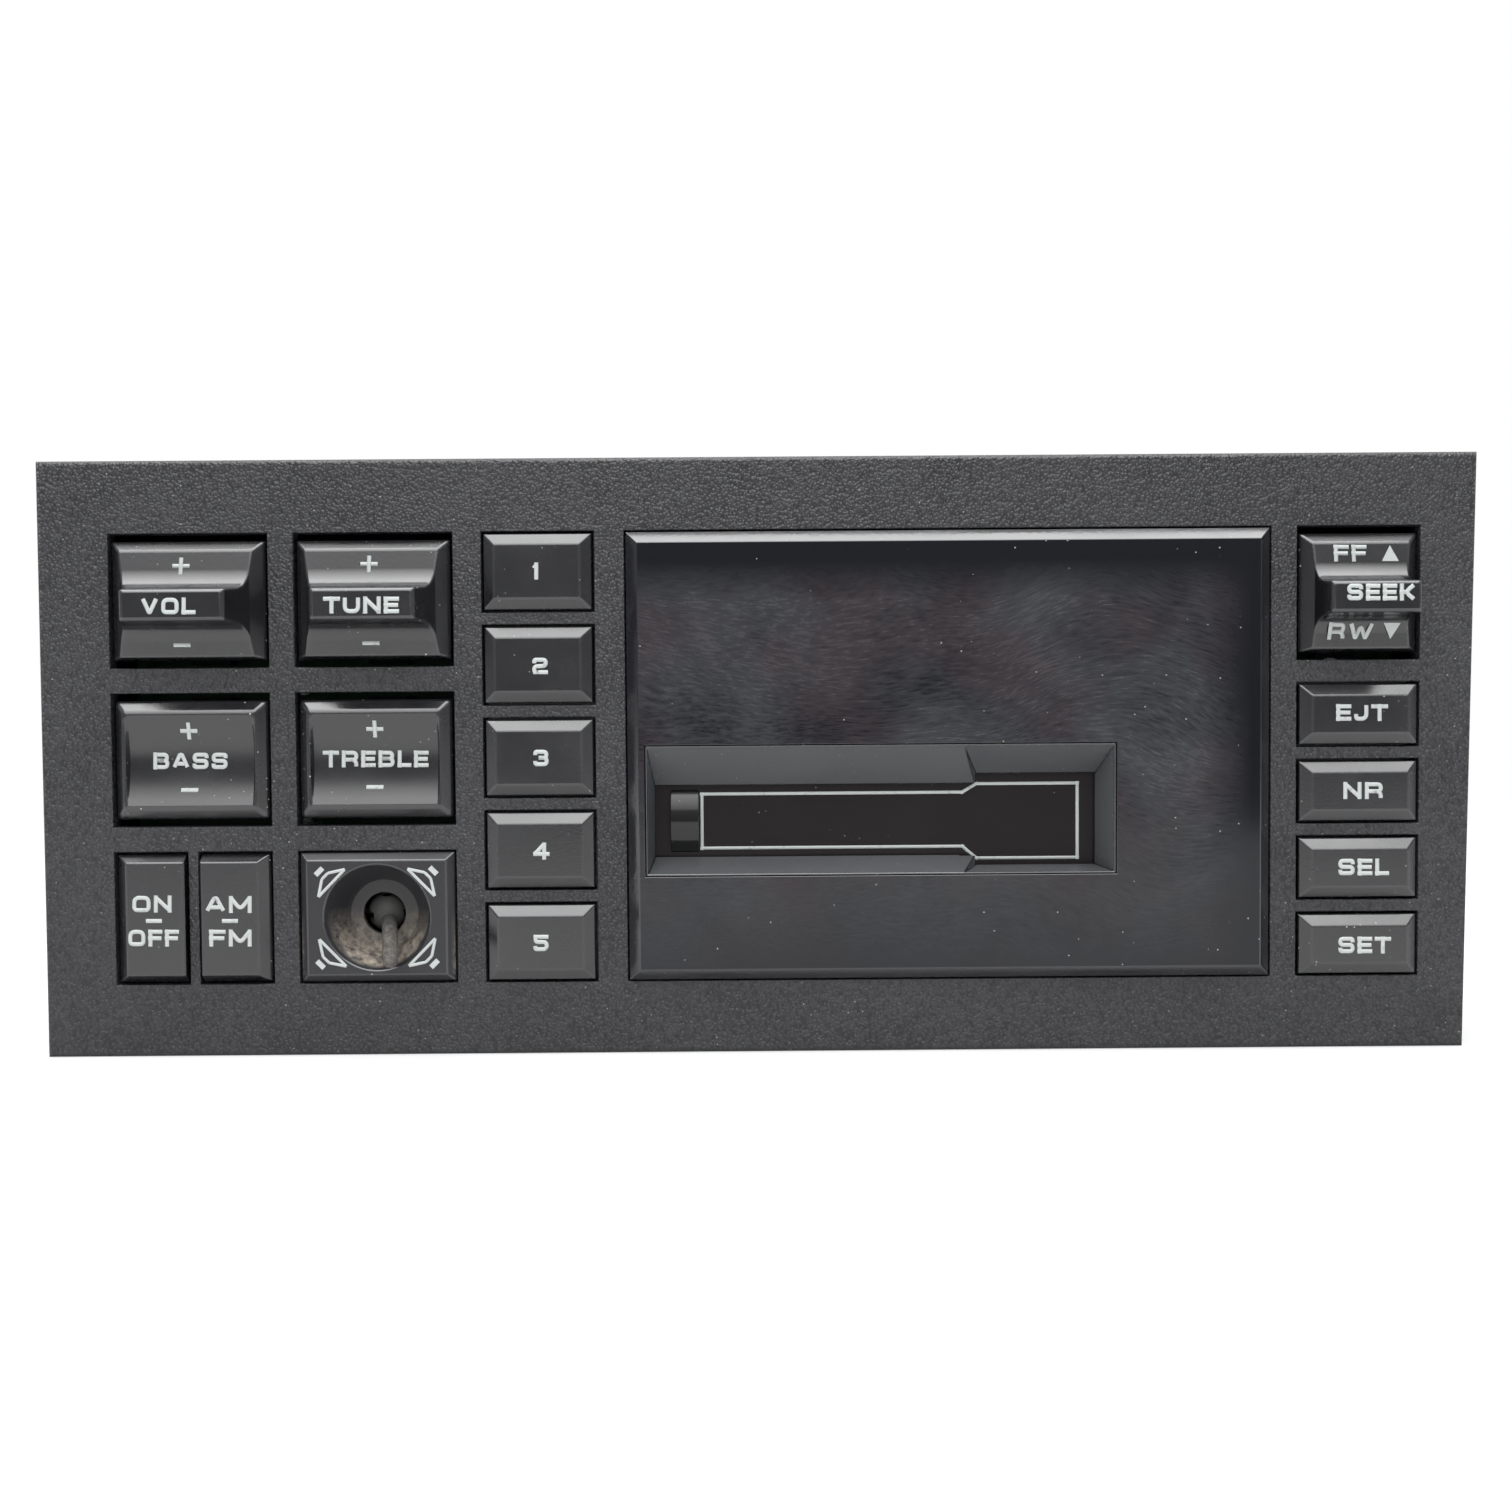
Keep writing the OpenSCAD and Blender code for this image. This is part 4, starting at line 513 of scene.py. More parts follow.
# %% Acrylic finishes
def smoked_acrylic():
    material, tree, shader, where = begin_finish("smoked_acrylic", IOR=1.49)
    # Wiping marks: the plane is warped in slow swirls, and noise on it is drawn out to strokes 2 mm by 0.3 mm.
    swirl = add(tree, "TexNoise", {"Vector": where, "Scale": 1 / (34 * MM), "Detail": 1.0})
    swirl = add(tree, "VectorMath", {0: swirl.outputs["Color"], 1: (0.02, 0.02, 0.02)}, operation="MULTIPLY")
    warped = add(tree, "VectorMath", {0: where, 1: swirl}, operation="ADD")
    drawn = add(tree, "Mapping", {"Vector": warped, "Scale": (1 / (2 * MM), 1 / (2 * MM), 1 / (0.3 * MM))})
    wiped = add(tree, "TexNoise", {"Vector": drawn, "Scale": 1.0, "Detail": 5.0, "Roughness": 0.6})
    clouds = add(tree, "TexNoise", {"Vector": where, "Scale": 1 / (20 * MM), "Detail": 5.0, "Distortion": 0.8})
    haze = add(tree, "Math", {0: wiped, 1: clouds}, operation="ADD")
    haze = add(tree, "MapRange", {"Value": haze, "From Min": 0.62, "From Max": 1.38})
    # The haze thins out towards the top and the right edge, and towards the bottom.
    spot = add(tree, "SeparateXYZ", {"Vector": where})
    high = add(tree, "MapRange", {"Value": spot.outputs["Z"], "From Min": FACE.z + 0.029, "From Max": FACE.z + 0.023})
    side = add(tree, "MapRange", {"Value": spot.outputs["X"], "From Min": 0.0735, "From Max": 0.0665})
    area = add(tree, "Math", {0: high, 1: side}, operation="MULTIPLY")
    low = add(tree, "MapRange", {"Value": spot.outputs["Z"], "From Min": FACE.z - 0.032, "From Max": FACE.z - 0.012,
                                 "To Min": 0.15})
    area = add(tree, "Math", {0: area, 1: low}, operation="MULTIPLY")
    veil = add(tree, "Math", {0: haze, 1: area}, operation="MULTIPLY")
    # Wax and dirt tint the haze: cool slate in some places, a brownish plum in others.
    tint = add(tree, "TexNoise", {"Vector": where, "Scale": 1 / (17 * MM), "Detail": 2.0})
    tint = add(tree, "MapRange", {"Value": tint, "From Min": 0.38, "From Max": 0.62})
    film = add(tree, "Mix", {0: tint, 6: linear("#404346"), 7: linear("#3e363a")}, data_type="RGBA")
    tone = add(tree, "Mix", {0: veil, 6: linear("#101217"), 7: film.outputs[2]}, data_type="RGBA")
    # Dust: specks about 0.25 mm across, more of them to the right.
    specks = add(tree, "TexVoronoi", {"Vector": where, "Scale": 1 / (1.6 * MM)})
    speck = add(tree, "MapRange", {"Value": specks.outputs["Distance"], "From Min": 0.085, "From Max": 0.05})
    rare = add(tree, "SeparateColor", {"Color": specks.outputs["Color"]})
    right = add(tree, "MapRange", {"Value": spot.outputs["X"], "From Min": -0.02, "From Max": 0.075,
                                   "To Min": 0.93, "To Max": 0.62})
    kept = add(tree, "Math", {0: rare, 1: right}, operation="GREATER_THAN")
    fleck = add(tree, "Math", {0: speck, 1: kept}, operation="MULTIPLY")
    dusty = add(tree, "Mix", {0: fleck, 6: tone.outputs[2], 7: linear("#9c9a98")}, data_type="RGBA")
    matt = add(tree, "MapRange", {"Value": veil, "To Min": 0.10, "To Max": 0.34})
    wire(tree, shader, {"Base Color": dusty.outputs[2], "Roughness": matt})
    return material


window_face = smoked_acrylic()
# Polished acrylic edge: it pipes light, so it is paler than the flat.
window_edge = moulded_plastic("polished_acrylic_edge", "#18181b", "#242428", 0.6, 0.003, 0.14, 0.6, gloss=1.0)
print("window finishes:", window_face.name, window_edge.name)

# %% Dress the window
window = cad_copy("display_window", window_face, window_edge)
rim = round_edges(window, 0.12, lambda x, y, z: y < 0.3, segments=2, finish=1)
for side in window.data.polygons:
    if abs(side.normal.y) < 0.97:
        side.material_index = 1
settle(window, "root", "display_window")
print("window edges rounded:", rim)

# %% [markdown]
# ## The cassette mouth
# A moulded funnel guides the cassette in, and a sprung flap closes it. The gloss black block at the left of the flap
# is a separate moulding. Their edges are thin pale lines, and the funnel's are painted paler as well, partly wear
# and partly painted highlight.

# %% Dress the surround, the door and its block
surround = cad_copy("cassette_surround", slot_abs, worn_and_highlight_abs)
rim = round_edges(surround, 0.18, lambda x, y, z: y < 5.5, finish=1)
settle(surround, "root", "cassette_surround")
door = cad_copy("cassette_door", door_abs)
flap = round_edges(door, 0.15, lambda x, y, z: y < 6, segments=2)
settle(door, "cassette_door", "cassette_door")
gloss_block = moulded_plastic("gloss_black_styrene", "#161617", "#1c1c1d", 0.5, 0.002, 0.12, 0.4)
block = cad_copy("tape_indicator", gloss_block)
round_edges(block, 0.15, lambda x, y, z: y < 6, segments=2)
settle(block, "cassette_door", "tape_indicator")
print("surround edges:", rim, "door edges:", flap)

# %% [markdown]
# ## The fader
# Four loudspeakers are balanced by one small stick in a bowl. Dust falls to the bowl's lower half and sticks to the
# stick, so their finish turns tan with height instead of by a painted mask.

# %% Dress the fader
def dusty_bowl():
    material, tree, shader, where = begin_finish("dusty_black_abs", IOR=1.53)
    spot = add(tree, "SeparateXYZ", {"Vector": where})
    low = add(tree, "MapRange", {"Value": spot.outputs["Z"], "From Min": FACE.z - 0.0225,
                                 "From Max": FACE.z - 0.0305})
    deep = add(tree, "MapRange", {"Value": spot.outputs["Y"], "From Min": FACE.y - 0.0003,
                                  "From Max": FACE.y + 0.0006})
    fluff = add(tree, "TexNoise", {"Vector": where, "Scale": 1 / (1.1 * MM), "Detail": 8.0, "Roughness": 0.75})
    spread = add(tree, "MapRange", {"Value": fluff, "From Min": 0.36, "From Max": 0.62})
    # Below the bowl the cover's rim is wiped clean.
    within = add(tree, "MapRange", {"Value": spot.outputs["Z"], "From Min": FACE.z - 0.0326,
                                    "From Max": FACE.z - 0.0322})
    lie = add(tree, "Math", {0: low, 1: deep}, operation="MULTIPLY")
    lie = add(tree, "Math", {0: lie, 1: within}, operation="MULTIPLY")
    lie = add(tree, "Math", {0: lie, 1: spread}, operation="MULTIPLY")
    floor_of_bowl = add(tree, "MapRange", {"Value": spot.outputs["Y"], "From Min": FACE.y + 0.0034,
                                           "From Max": FACE.y + 0.0042})
    plain = add(tree, "Mix", {0: floor_of_bowl, 6: linear("#29292c"), 7: linear("#363535")}, data_type="RGBA")
    tone = add(tree, "Mix", {0: lie, 6: plain.outputs[2], 7: linear("#a4998b")}, data_type="RGBA")
    matt = add(tree, "MapRange", {"Value": lie, "To Min": 0.36, "To Max": 0.9})
    bump = add(tree, "Bump", {"Height": fluff, "Distance": 0.05 * MM, "Strength": 0.5})
    wire(tree, shader, {"Base Color": tone.outputs[2], "Roughness": matt, "Normal": bump})
    return material


def handled_stick():
    # Black ABS with old dust in its grain: mottled grey and tan above the floor, dark where it goes under.
    material, tree, shader, where = begin_finish("mottled_dusty_abs", IOR=1.5, Roughness=0.62)
    spot = add(tree, "SeparateXYZ", {"Vector": where})
    out = add(tree, "MapRange", {"Value": spot.outputs["Y"], "From Min": FACE.y + 0.0042,
                                 "From Max": FACE.y + 0.0012})
    mottle = add(tree, "TexNoise", {"Vector": where, "Scale": 1 / (0.7 * MM), "Detail": 6.0, "Roughness": 0.7})
    spread = add(tree, "MapRange", {"Value": mottle, "From Min": 0.38, "From Max": 0.60})
    worn = add(tree, "Math", {0: out, 1: spread}, operation="MULTIPLY")
    tone = add(tree, "Mix", {0: worn, 6: linear("#3f3e3d"), 7: linear("#68645d")}, data_type="RGBA")
    bump = add(tree, "Bump", {"Height": mottle, "Distance": 0.08 * MM, "Strength": 0.6})
    wire(tree, shader, {"Base Color": tone.outputs[2], "Normal": bump})
    return material


bowl_abs = dusty_bowl()
stick_abs = handled_stick()
cover = cad_copy("fader_cover", bowl_abs, worn_and_highlight_abs)
rim = round_edges(cover, 0.2, lambda x, y, z: y < 0.8, finish=1)
settle(cover, "root", "fader_cover")
stick = cad_copy("fader_stick", stick_abs)
# The corners of the slot in its ball lie 1.85 mm from its pivot. Easing them lets the stick clear its cross at both
# limits.
STICK_PIVOT = (-57.5, 7.4, -23.8)
eased = round_edges(stick, 0.35, lambda *spot: 1.8 < math.dist(spot, STICK_PIVOT) < 1.9, segments=1)
settle(stick, "fader_stick", "fader_stick")
print("fader edges:", rim, "and", eased, "eased slot corners")

# %% [markdown]
# ## Printed words
# The words are one coat of white ink in a wide, square letter. A font file can't be read here, so the letters are pen
# strokes: straight ones with square ends and bent ones with round corners. A curve with a bevel draws each stroke,
# it is made a mesh, and every point is then laid on the key behind it by a ray, so that ink follows a dish too.

# %% Strokes of the letters
STRAIGHT, BENT = 0, 1
STEM, POST = (STRAIGHT, [(0, 0), (0, 1)]), (STRAIGHT, [(1, 0), (1, 1)])
TOP, FOOT = (STRAIGHT, [(0, 1), (1, 1)]), (STRAIGHT, [(0, 0), (1, 0)])
# Each letter: its width for a height of 1, and its strokes in a square of 1.
LETTERS = {
    "A": (1.15, [(BENT, [(0, 0), (.42, 1), (.58, 1), (1, 0)]), (STRAIGHT, [(.24, .27), (.76, .27)])]),
    "B": (1.08, [STEM, (BENT, [(0, 1), (.96, 1), (.96, .52), (0, .52)]),
                 (BENT, [(0, .52), (1, .52), (1, 0), (0, 0)])]),
    "E": (.95, [STEM, TOP, (STRAIGHT, [(0, .5), (.92, .5)]), FOOT]),
    "F": (.92, [STEM, TOP, (STRAIGHT, [(0, .48), (.9, .48)])]),
    "J": (.92, [(BENT, [(1, 1.1), (1, 0), (0, 0), (0, .38)])]),
    "K": (1.08, [STEM, (BENT, [(1, 1.06), (.3, .5), (1, -.06)]), (STRAIGHT, [(0, .5), (.25, .5)])]),
    "L": (.9, [STEM, FOOT]),
    "M": (1.3, [STEM, POST, (BENT, [(.02, 1), (.5, .1), (.98, 1)])]),
    "N": (1.12, [STEM, POST, (BENT, [(.02, 1), (.98, 0)])]),
    "O": (1.15, [(BENT, [(.5, 0), (0, 0), (0, 1), (1, 1), (1, 0), (.5, 0)])]),
    "R": (1.1, [STEM, (BENT, [(0, 1), (1, 1), (1, .44), (0, .44)]),
                (BENT, [(.55, .44), (.82, .44), (1, .2), (1, -.1)])]),
    "S": (1.08, [(BENT, [(1, .72), (1, 1), (0, 1), (0, .51), (1, .51), (1, 0), (0, 0), (0, .28)])]),
    "T": (1.05, [TOP, (STRAIGHT, [(.5, 0), (.5, 1)])]),
    "U": (1.1, [(BENT, [(0, 1.1), (0, 0), (1, 0), (1, 1.1)])]),
    "V": (1.15, [(BENT, [(0, 1.08), (.46, 0), (.54, 0), (1, 1.08)])]),
    "W": (1.55, [(BENT, [(0, 1.08), (.24, 0), (.28, 0), (.5, .95), (.72, 0), (.76, 0), (1, 1.08)])]),
    "1": (.6, [(STRAIGHT, [(.55, 0), (.55, 1)]), (BENT, [(.55, 1), (0, .72)])]),
    "2": (1.02, [(BENT, [(0, .72), (0, 1), (1, 1), (1, .52), (0, .46), (0, 0), (.4, 0)]),
                 (STRAIGHT, [(.1, 0), (1, 0)])]),
    "3": (1.02, [(BENT, [(0, .74), (0, 1), (.97, 1), (.97, .52), (.3, .52)]),
                 (BENT, [(.3, .52), (1, .52), (1, 0), (0, 0), (0, .26)])]),
    "4": (1.08, [(STRAIGHT, [(.76, 0), (.76, 1)]), (BENT, [(.72, 1.02), (.04, .3)]),
                 (STRAIGHT, [(.06, .26), (1, .26)])]),
    "5": (1.02, [(STRAIGHT, [(.05, 1), (.95, 1)]),
                 (BENT, [(.03, 1), (.03, .58), (1, .58), (1, 0), (0, 0), (0, .26)])]),
    "+": (1.0, [(STRAIGHT, [(.0, .5), (1, .5)]), (STRAIGHT, [(.5, 0), (.5, 1)])]),
    "-": (1.0, [(STRAIGHT, [(0, .5), (1, .5)])]),
}


def bent(points, radius):
    """The same path with each corner replaced by an arc."""
    path = [points[0]]
    for before, here, after in zip(points, points[1:], points[2:]):
        back, on = (before - here), (after - here)
        cut = min(radius, back.length / 2, on.length / 2)
        start, stop = here + back.normalized() * cut, here + on.normalized() * cut
        for step in range(7):
            t = step / 6
            path.append(start * (1 - t) ** 2 + here * 2 * t * (1 - t) + stop * t * t)
    return path + [points[-1]]


def word_strokes(word, middle, width, height, pen):
    """Pen strokes of a word, in picture pixels, with its outer size."""
    gap = .16
    natural = sum(LETTERS[c][0] for c in word) + gap * (len(word) - 1)
    unit = width / natural
    strokes, left = [], middle[0] - width / 2
    for letter in word:
        wide, marks = LETTERS[letter]
        low = Vector((left + pen / 2, middle[1] + height / 2 - pen / 2))
        span = Vector((wide * unit - pen, pen - height))
        for kind, points in marks:
            path = [low + Vector((x * span.x, y * span.y)) for x, y in points]
            if kind == BENT:
                path = bent(path, 0.3 * height)
            else:
                end = (path[1] - path[0]).normalized() * pen / 2
                path = [path[0] - end, path[1] + end]
            strokes.append(path)
        left += (wide + gap) * unit
    return strokes


print("letters:", len(LETTERS))

# %% [markdown]
# The ink itself is a white enamel that age has greyed, with a few rubbed spots. Ink is a few hundredths of a
# millimetre thick: the strokes are pressed to that.

# %% Ink that lies on a key
def white_ink():
    material, tree, shader, where = begin_finish("white_screen_ink", IOR=1.5, Roughness=0.45)
    worn = add(tree, "TexNoise", {"Vector": where, "Scale": 1 / (0.9 * MM), "Detail": 5.0})
    thin = add(tree, "MapRange", {"Value": worn, "From Min": 0.62, "From Max": 0.74})
    tone = add(tree, "Mix", {0: thin, 6: linear("#b4b9b7"), 7: linear("#929694")}, data_type="RGBA")
    wire(tree, shader, {"Base Color": tone.outputs[2]})
    return material


INK = white_ink()
# In millimetres: the ink's thickness, half that of a filled shape before it is pressed, and where the rays start.
INK_MM, FILL_MM, CAST_MM = 0.03, 0.1, 30


def lay_ink(name, strokes, pen_mm, carrier, body, filled=()):
    """Draws strokes (points in metres) with a round pen, makes them a mesh and presses it on the carrier."""
    curve = bpy.data.curves.new(name, "CURVE")
    curve.dimensions = "3D"
    curve.bevel_depth = pen_mm / 2 * MM
    curve.bevel_resolution = 1
    curve.use_fill_caps = True
    for path in strokes:
        spline = curve.splines.new("POLY")
        spline.points.add(len(path) - 1)
        for point, spot in zip(spline.points, path):
            point.co = (*spot, 1)
    print_piece = bpy.data.objects.new(name, curve)
    scene.collection.objects.link(print_piece)
    only(print_piece)
    bpy.ops.object.convert(target="MESH")
    print_piece = bpy.context.object
    shape = bmesh.new()
    shape.from_mesh(print_piece.data)
    for corners in filled:
        rings = [[shape.verts.new(c + Vector((0, side * FILL_MM * MM, 0))) for c in corners] for side in (-1, 1)]
        shape.faces.new(rings[0])
        shape.faces.new(rings[1][::-1])
        for i in range(len(corners)):
            j = (i + 1) % len(corners)
            shape.faces.new((rings[0][i], rings[1][i], rings[1][j], rings[0][j]))
    shape.to_mesh(print_piece.data)
    shape.free()
    under = BVHTree.FromPolygons([v.co for v in carrier.data.vertices], [p.vertices for p in carrier.data.polygons])
    planes = sorted({round(path[0].y, 5) for path in strokes})
    for vertex in print_piece.data.vertices:
        hit = under.ray_cast(Vector((vertex.co.x, FACE.y - CAST_MM * MM, vertex.co.z)), Vector((0, 1, 0)))[0]
        plane = min(planes, key=lambda y: abs(y - vertex.co.y))
        front = (plane - vertex.co.y) / (pen_mm / 2 * MM)
        vertex.co.y = (hit.y if hit else plane) - INK_MM * MM * (0.55 + 0.45 * front)
    print_piece.data.materials.append(INK)
    edit_all(print_piece)
    bpy.ops.mesh.normals_make_consistent(inside=False)
    bpy.ops.object.mode_set(mode="OBJECT")
    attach(print_piece, body)


print("ink is", INK_MM, "mm thick")

# %% Print the words
PEN, LETTER_HIGH, PIXEL_MM = 4.6, 17, 0.15
# Each mark: word, its middle in the picture, its width there, and how far behind the face it lies. Less than 0 is in
# front of the face.
DISH, TALL_KEY, KEY, PADDLE = 0, -0.9, -1.2, -PADDLE_OUT
PRINTS = {
    "volume_rocker": [("VOL", (168, 606), 55, PADDLE), ("+", (181, 566), 17, KEY), ("-", (182, 645), 17, KEY)],
    "tuning_rocker": [("TUNE", (361, 605), 76, PADDLE), ("+", (369, 564), 17, KEY), ("-", (371, 643), 17, KEY)],
    "bass_rocker": [("BASS", (189.5, 761), 75, DISH), ("+", (189, 731), 17, DISH), ("-", (190, 790), 17, DISH)],
    "treble_rocker": [("TREBLE", (375, 759), 106, DISH), ("+", (375, 729), 17, DISH), ("-", (375, 787), 17, DISH)],
    "power_key": [("ON", (152, 904), 40, TALL_KEY), ("-", (154, 921), 16, TALL_KEY),
                  ("OFF", (153.5, 938), 51, TALL_KEY)],
    "band_key": [("AM", (228.5, 904.5), 47, TALL_KEY), ("-", (230, 921), 16, TALL_KEY),
                 ("FM", (230.5, 938), 43, TALL_KEY)],
    "preset_key_1": [("1", (536, 571), 9, KEY)],
    "preset_key_2": [("2", (540, 666), 16, KEY)],
    "preset_key_3": [("3", (541, 758), 16, KEY)],
    "preset_key_4": [("4", (541, 851), 17, KEY)],
    "preset_key_5": [("5", (541, 943), 16, KEY)],
    "seek_rocker": [("FF", (1350.5, 553), 33, KEY), ("SEEK", (1381.5, 592), 69, PADDLE),
                    ("RW", (1350, 631), 46, KEY)],
    "eject_key": [("EJT", (1362, 712.5), 52, KEY)],
    "noise_key": [("NR", (1363, 790.5), 40, KEY)],
    "select_key": [("SEL", (1363.5, 867), 51, KEY)],
    "set_key": [("SET", (1364.5, 945), 53, KEY)],
}
# The arrows by the seek words: corners in the picture.
ARROWS = {"seek_rocker": [[(1382, 561), (1399, 561), (1390.5, 545)], [(1382, 623), (1399, 623), (1390.5, 639)]]}
for key, marks in PRINTS.items():
    strokes = []
    for word, middle, width, depth in marks:
        for path in word_strokes(word, middle, width, LETTER_HIGH, PEN):
            strokes.append([seen_at(p.x, p.y, depth) for p in path])
    arrows = [[seen_at(*corner, KEY) for corner in arrow] for arrow in ARROWS.get(key, [])]
    lay_ink(key + "_words", strokes, PEN * PIXEL_MM, caps[key], key, arrows)
print("keys with words:", len(PRINTS))

# %% [markdown]
# The door carries a printed outline of a cassette's edge, thick end to the right, to show which way it goes in. The
# fader's cover has a small loudspeaker in each corner. Both are the same ink, drawn with a finer pen.

# %% Print the outline and the loudspeakers
# The outline's corners are places on the face's plane, and the ink lies on the door behind them.
OUTLINE_LEFT, DOOR_IN, OUTLINE_END = 0.475, 4.25, 0.27
edge = [(-8.2, -5.65), (30.9, -5.65), (33.0, -4.4), (48.2, -4.4), (48.2, -15.6), (33.0, -15.6), (30.9, -13.8),
        (-8.2, -13.8)]
edge = [reach(on_face(x - OUTLINE_LEFT, 0, z) - eye, DOOR_IN) for x, z in edge]
outline = []
for start, stop in zip(edge, edge[1:] + edge[:1]):
    end = (stop - start).normalized() * OUTLINE_END * MM
    outline.append([start - end, stop + end])
lay_ink("cassette_outline", outline, 0.55, door, "cassette_door")
# The loudspeaker of one corner, measured from the stick's pivot.
HORN = [(-8.15, 5.85), (-7.25, 6.75), (-4.7, 7.3), (-8.7, 3.2)]
MAGNET = [(-9.35, 6.75), (-8.3, 7.8), (-7.75, 7.25), (-8.8, 6.2)]
COVER_IN = -1.0
speakers, magnets = [], []
for sx in (-1, 1):
    for sz in (-1, 1):
        horn, magnet = [[on_face(STICK_PIVOT[0] - sx * x, COVER_IN, STICK_PIVOT[2] + sz * z) for x, z in corners]
                        for corners in (HORN, MAGNET)]
        speakers += zip(horn, horn[1:] + horn[:1])
        magnets.append(magnet)
lay_ink("loudspeaker_marks", speakers, 0.5, cover, "root", magnets)
print("outline strokes:", len(outline), "loudspeaker strokes:", len(speakers))

# %% [markdown]
# ## The case behind the face
# The case is sheet steel with a bright zinc plating. Inside it are boards and a tape deck that a shut case hides, so
# those keep their CAD meshes and get finishes of their own.

# %% Metal and circuit finishes
def plated_metal(name, deep, pale, grain_mm, roughness):
    material, tree, shader, where = begin_finish(name, Metallic=1.0)
    # Rolled sheet: streaks along Y, drawn wider than the real rolling marks so that they show.
    fine, long = 1 / (grain_mm * MM), 1 / (30 * MM)
    drawn = add(tree, "Mapping", {"Vector": where, "Scale": (fine, long, fine)})
    streaks = add(tree, "TexNoise", {"Vector": drawn, "Scale": 1.0, "Detail": 3.0})
    clouds = add(tree, "TexNoise", {"Vector": where, "Scale": 1 / (22 * MM), "Detail": 5.0, "Roughness": 0.6})
    blend = add(tree, "Math", {0: streaks, 1: clouds}, operation="ADD")
    blend = add(tree, "MapRange", {"Value": blend, "From Min": 0.65, "From Max": 1.35})
    tone = add(tree, "Mix", {0: blend, 6: linear(deep), 7: linear(pale)}, data_type="RGBA")
    matt = add(tree, "MapRange", {"Value": blend, "To Min": roughness - 0.07, "To Max": roughness + 0.08})
    bump = add(tree, "Bump", {"Height": streaks, "Distance": 0.006 * MM, "Strength": 0.5})
    wire(tree, shader, {"Base Color": tone.outputs[2], "Roughness": matt, "Normal": bump})
    return material


FINISHES = {
    # Zinc-plated sheet: bright grey with a faint straw tint and dull clouds.
    "plated_steel": plated_metal("zinc_plated_steel", "#8f8f8b", "#a5a49e", 0.5, 0.42),
    # Turned bright steel: cleaner and smoother than the sheet.
    "bright_steel": plated_metal("turned_bright_steel", "#a5a6a8", "#d2d3d4", 0.3, 0.24),
    # Black anodised aluminium: dark, dull, with a metal glint.
    "black_aluminium": plated_metal("black_anodised_aluminium", "#1a1b1d", "#2b2c2e", 0.4, 0.42),
    # Turned brass: warm yellow.
    "pulley_brass": plated_metal("turned_brass", "#9a7a3a", "#cda95c", 0.3, 0.28),
    # Enamelled copper wire: red brown and glossy.
    "copper_winding": plated_metal("enamelled_copper", "#7a3c1f", "#b0643a", 0.4, 0.3),
    "housing_plastic": nose_nylon,
    # Sockets: plain matt black nylon.
    "socket_plastic": moulded_plastic("matt_black_nylon", "#17171a", "#222226", 0.4, 0.01, 0.5, 0.3),
    # Solder mask on glass fibre: green with a faint weave.
    "circuit_board": moulded_plastic("green_solder_mask", "#1c4a2c", "#2a613b", 0.7, 0.01, 0.4, 0.2),
    # Display glass: dark grey green.
    "display_glass": moulded_plastic("display_glass", "#1a2220", "#222c29", 0.9, 0.001, 0.12, 0.2),
    # Shrink sleeve of the capacitors: dark blue PVC.
    "capacitor_sleeve": moulded_plastic("blue_shrink_sleeve", "#16284a", "#203863", 0.6, 0.006, 0.3, 0.2),
    # Fuse body: clear orange polycarbonate, drawn opaque.
    "fuse_plastic": moulded_plastic("orange_polycarbonate", "#b4481a", "#cc5c26", 0.6, 0.004, 0.3, 0.2),
    # Acetal reels: off-white and waxy.
    "reel_plastic": moulded_plastic("white_acetal", "#c9c7bf", "#dddbd3", 0.6, 0.004, 0.36, 0.2),
    # Ground rubber: dead black.
    "belt_rubber": moulded_plastic("ground_rubber", "#131313", "#1e1e1e", 0.25, 0.02, 0.75, 0.3),
    "key_plastic": satin_abs,
    "door_plastic": door_abs,
    "surround_plastic": slot_abs,
    "bezel_plastic": grained_abs,
    "smoked_acrylic": window_face,
}
for part in frame["record"]["subparts"]:
    solid = frame["nodes"][part["node"]]
    solid.data.materials.clear()
    solid.data.materials.append(FINISHES[part["material_slot"]])
# The cross under the fader is coloured black as painted shade, so that nothing bright shows in the bowl.
frame["nodes"]["fader_gimbal"].data.materials[0] = FINISHES["black_aluminium"]

# %% [markdown]
# The outside of the case is folded from sheet, so its folds are round and its cut edges are barely broken. The long
# edges are enough: the rims of small holes stay as the punch made them.

# %% Break the edges of the case
def soften_case(node, slot, broken, fold=0.0, folds=None):
    piece = cad_copy(node, FINISHES[slot])
    bends = round_edges(piece, fold, folds, segments=5, sharper_than=60, longer_than=20) if folds else 0
    cuts = round_edges(piece, broken, lambda x, y, z: True, segments=2, sharper_than=60, longer_than=2.5)
    settle(piece, "root", node)
    print(node, "has", bends, "folds and", cuts, "broken edges")
    return piece


# The width of the broken edges comes first, then the radius of the folds and where they are.
soften_case("top_cover", "plated_steel", 0.12, 0.9, lambda x, y, z: abs(x) > 88.95 and z > 8.45)
soften_case("chassis_tray", "plated_steel", 0.12, 0.9, lambda x, y, z: abs(x) > 88.05 and z < -41.45)
soften_case("rear_panel", "plated_steel", 0.12)
soften_case("nose_housing", "housing_plastic", 0.5, 1.0,
            lambda x, y, z: y > 27.95 and (abs(x) > 104.9 or abs(z) > 42))
soften_case("heat_sink", "black_aluminium", 0.2)
socket = soften_case("harness_socket", "socket_plastic", 0.15)
# The contact blades stand inside the socket's four walls, and are tinned.
SOCKET_RIGHT, SOCKET_UP, HALF_WIDE, HALF_HIGH, SOCKET_FLOOR = 38.1, -27.9, 16.2, 6.2, 148.1
socket.data.materials.append(FINISHES["bright_steel"])
for face in socket.data.polygons:
    right, inward, upward = from_face(face.center)
    if inward > SOCKET_FLOOR and abs(right - SOCKET_RIGHT) < HALF_WIDE and abs(upward - SOCKET_UP) < HALF_HIGH:
        face.material_index = 1
soften_case("fuse", "fuse_plastic", 0.3)

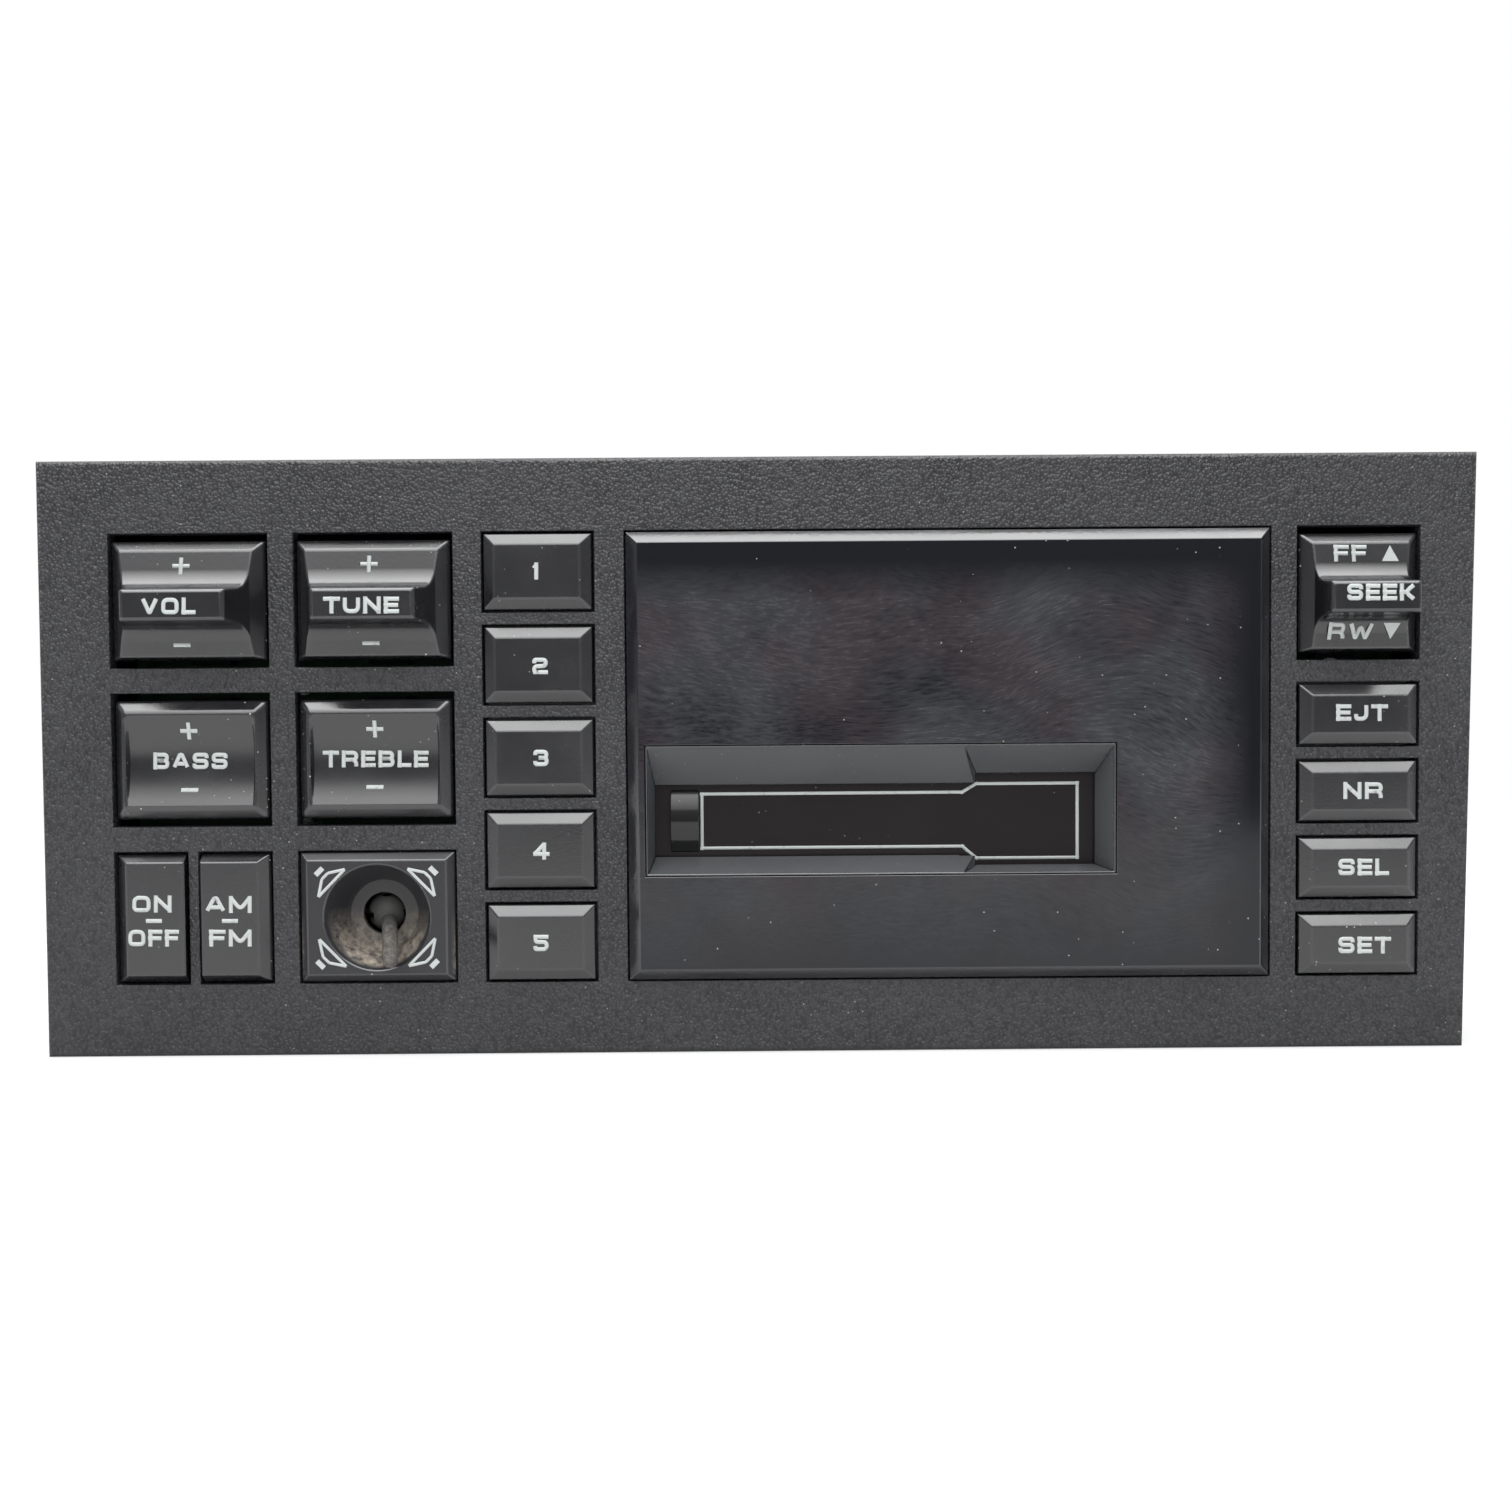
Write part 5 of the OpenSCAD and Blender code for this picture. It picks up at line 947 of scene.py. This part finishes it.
# %% [markdown]
# Screws have a rounded head and a cross for the driver. The cross is modelled once, as a small block with four arms,
# and cut out of each head. Each screw of a group is worked on by itself, and its head is the wider of its two ends.

# %% Cut the crosses of the screws
def head_of(piece):
    points = [v.co for v in piece.data.vertices]
    low = Vector([min(p[i] for p in points) for i in range(3)])
    high = Vector([max(p[i] for p in points) for i in range(3)])
    along = max(range(3), key=lambda i: high[i] - low[i])
    middle = (low + high) / 2
    across = [i for i in range(3) if i != along]
    wide = lambda end: max(math.hypot(*((p - middle)[i] for i in across)) for p in points
                           if abs(p[along] - end) < 0.5 * MM)
    outward = Vector((0, 0, 0))
    outward[along] = 1 if wide(high[along]) > wide(low[along]) else -1
    middle[along] = high[along] if outward[along] > 0 else low[along]
    return middle, outward


ARM_WIDE, ARM_LONG, TIMES_TALL = 0.55, 0.75, 3
bpy.ops.mesh.primitive_cube_add(size=ARM_WIDE * MM, scale=(1, 1, TIMES_TALL))
cross = bpy.context.object
bpy.ops.object.transform_apply(scale=True)
bpy.ops.object.mode_set(mode="EDIT")
pick(cross, "FACE", lambda face: abs(face.normal.z) < 0.5)
bpy.ops.mesh.extrude_faces_move(TRANSFORM_OT_shrink_fatten={"value": ARM_LONG * MM})
bpy.ops.object.mode_set(mode="OBJECT")
print("cross:", tuple(round(d / MM, 2) for d in cross.dimensions), "mm")
for group in ("chassis_screws", "nose_screws"):
    whole = cad_copy(group, FINISHES["bright_steel"])
    rims = round_edges(whole, 0.35, lambda x, y, z: True, segments=4, sharper_than=60)
    edit_all(whole)
    bpy.ops.mesh.separate(type="LOOSE")
    bpy.ops.object.mode_set(mode="OBJECT")
    screws = list(bpy.context.selected_objects)
    for screw in screws:
        top, outward = head_of(screw)
        cross.matrix_world = Matrix.Translation(top) @ outward.to_track_quat("Z", "Y").to_matrix().to_4x4()
        only(screw)
        cut = screw.modifiers.new("cross", "BOOLEAN")
        cut.object = cross
        bpy.ops.object.modifier_apply(modifier=cut.name)
    only(whole)
    for screw in screws:
        screw.select_set(True)
    bpy.ops.object.join()
    settle(whole, "root", group)
    print(group, len(screws), "screws,", rims, "rim edges")
bpy.data.objects.remove(cross)
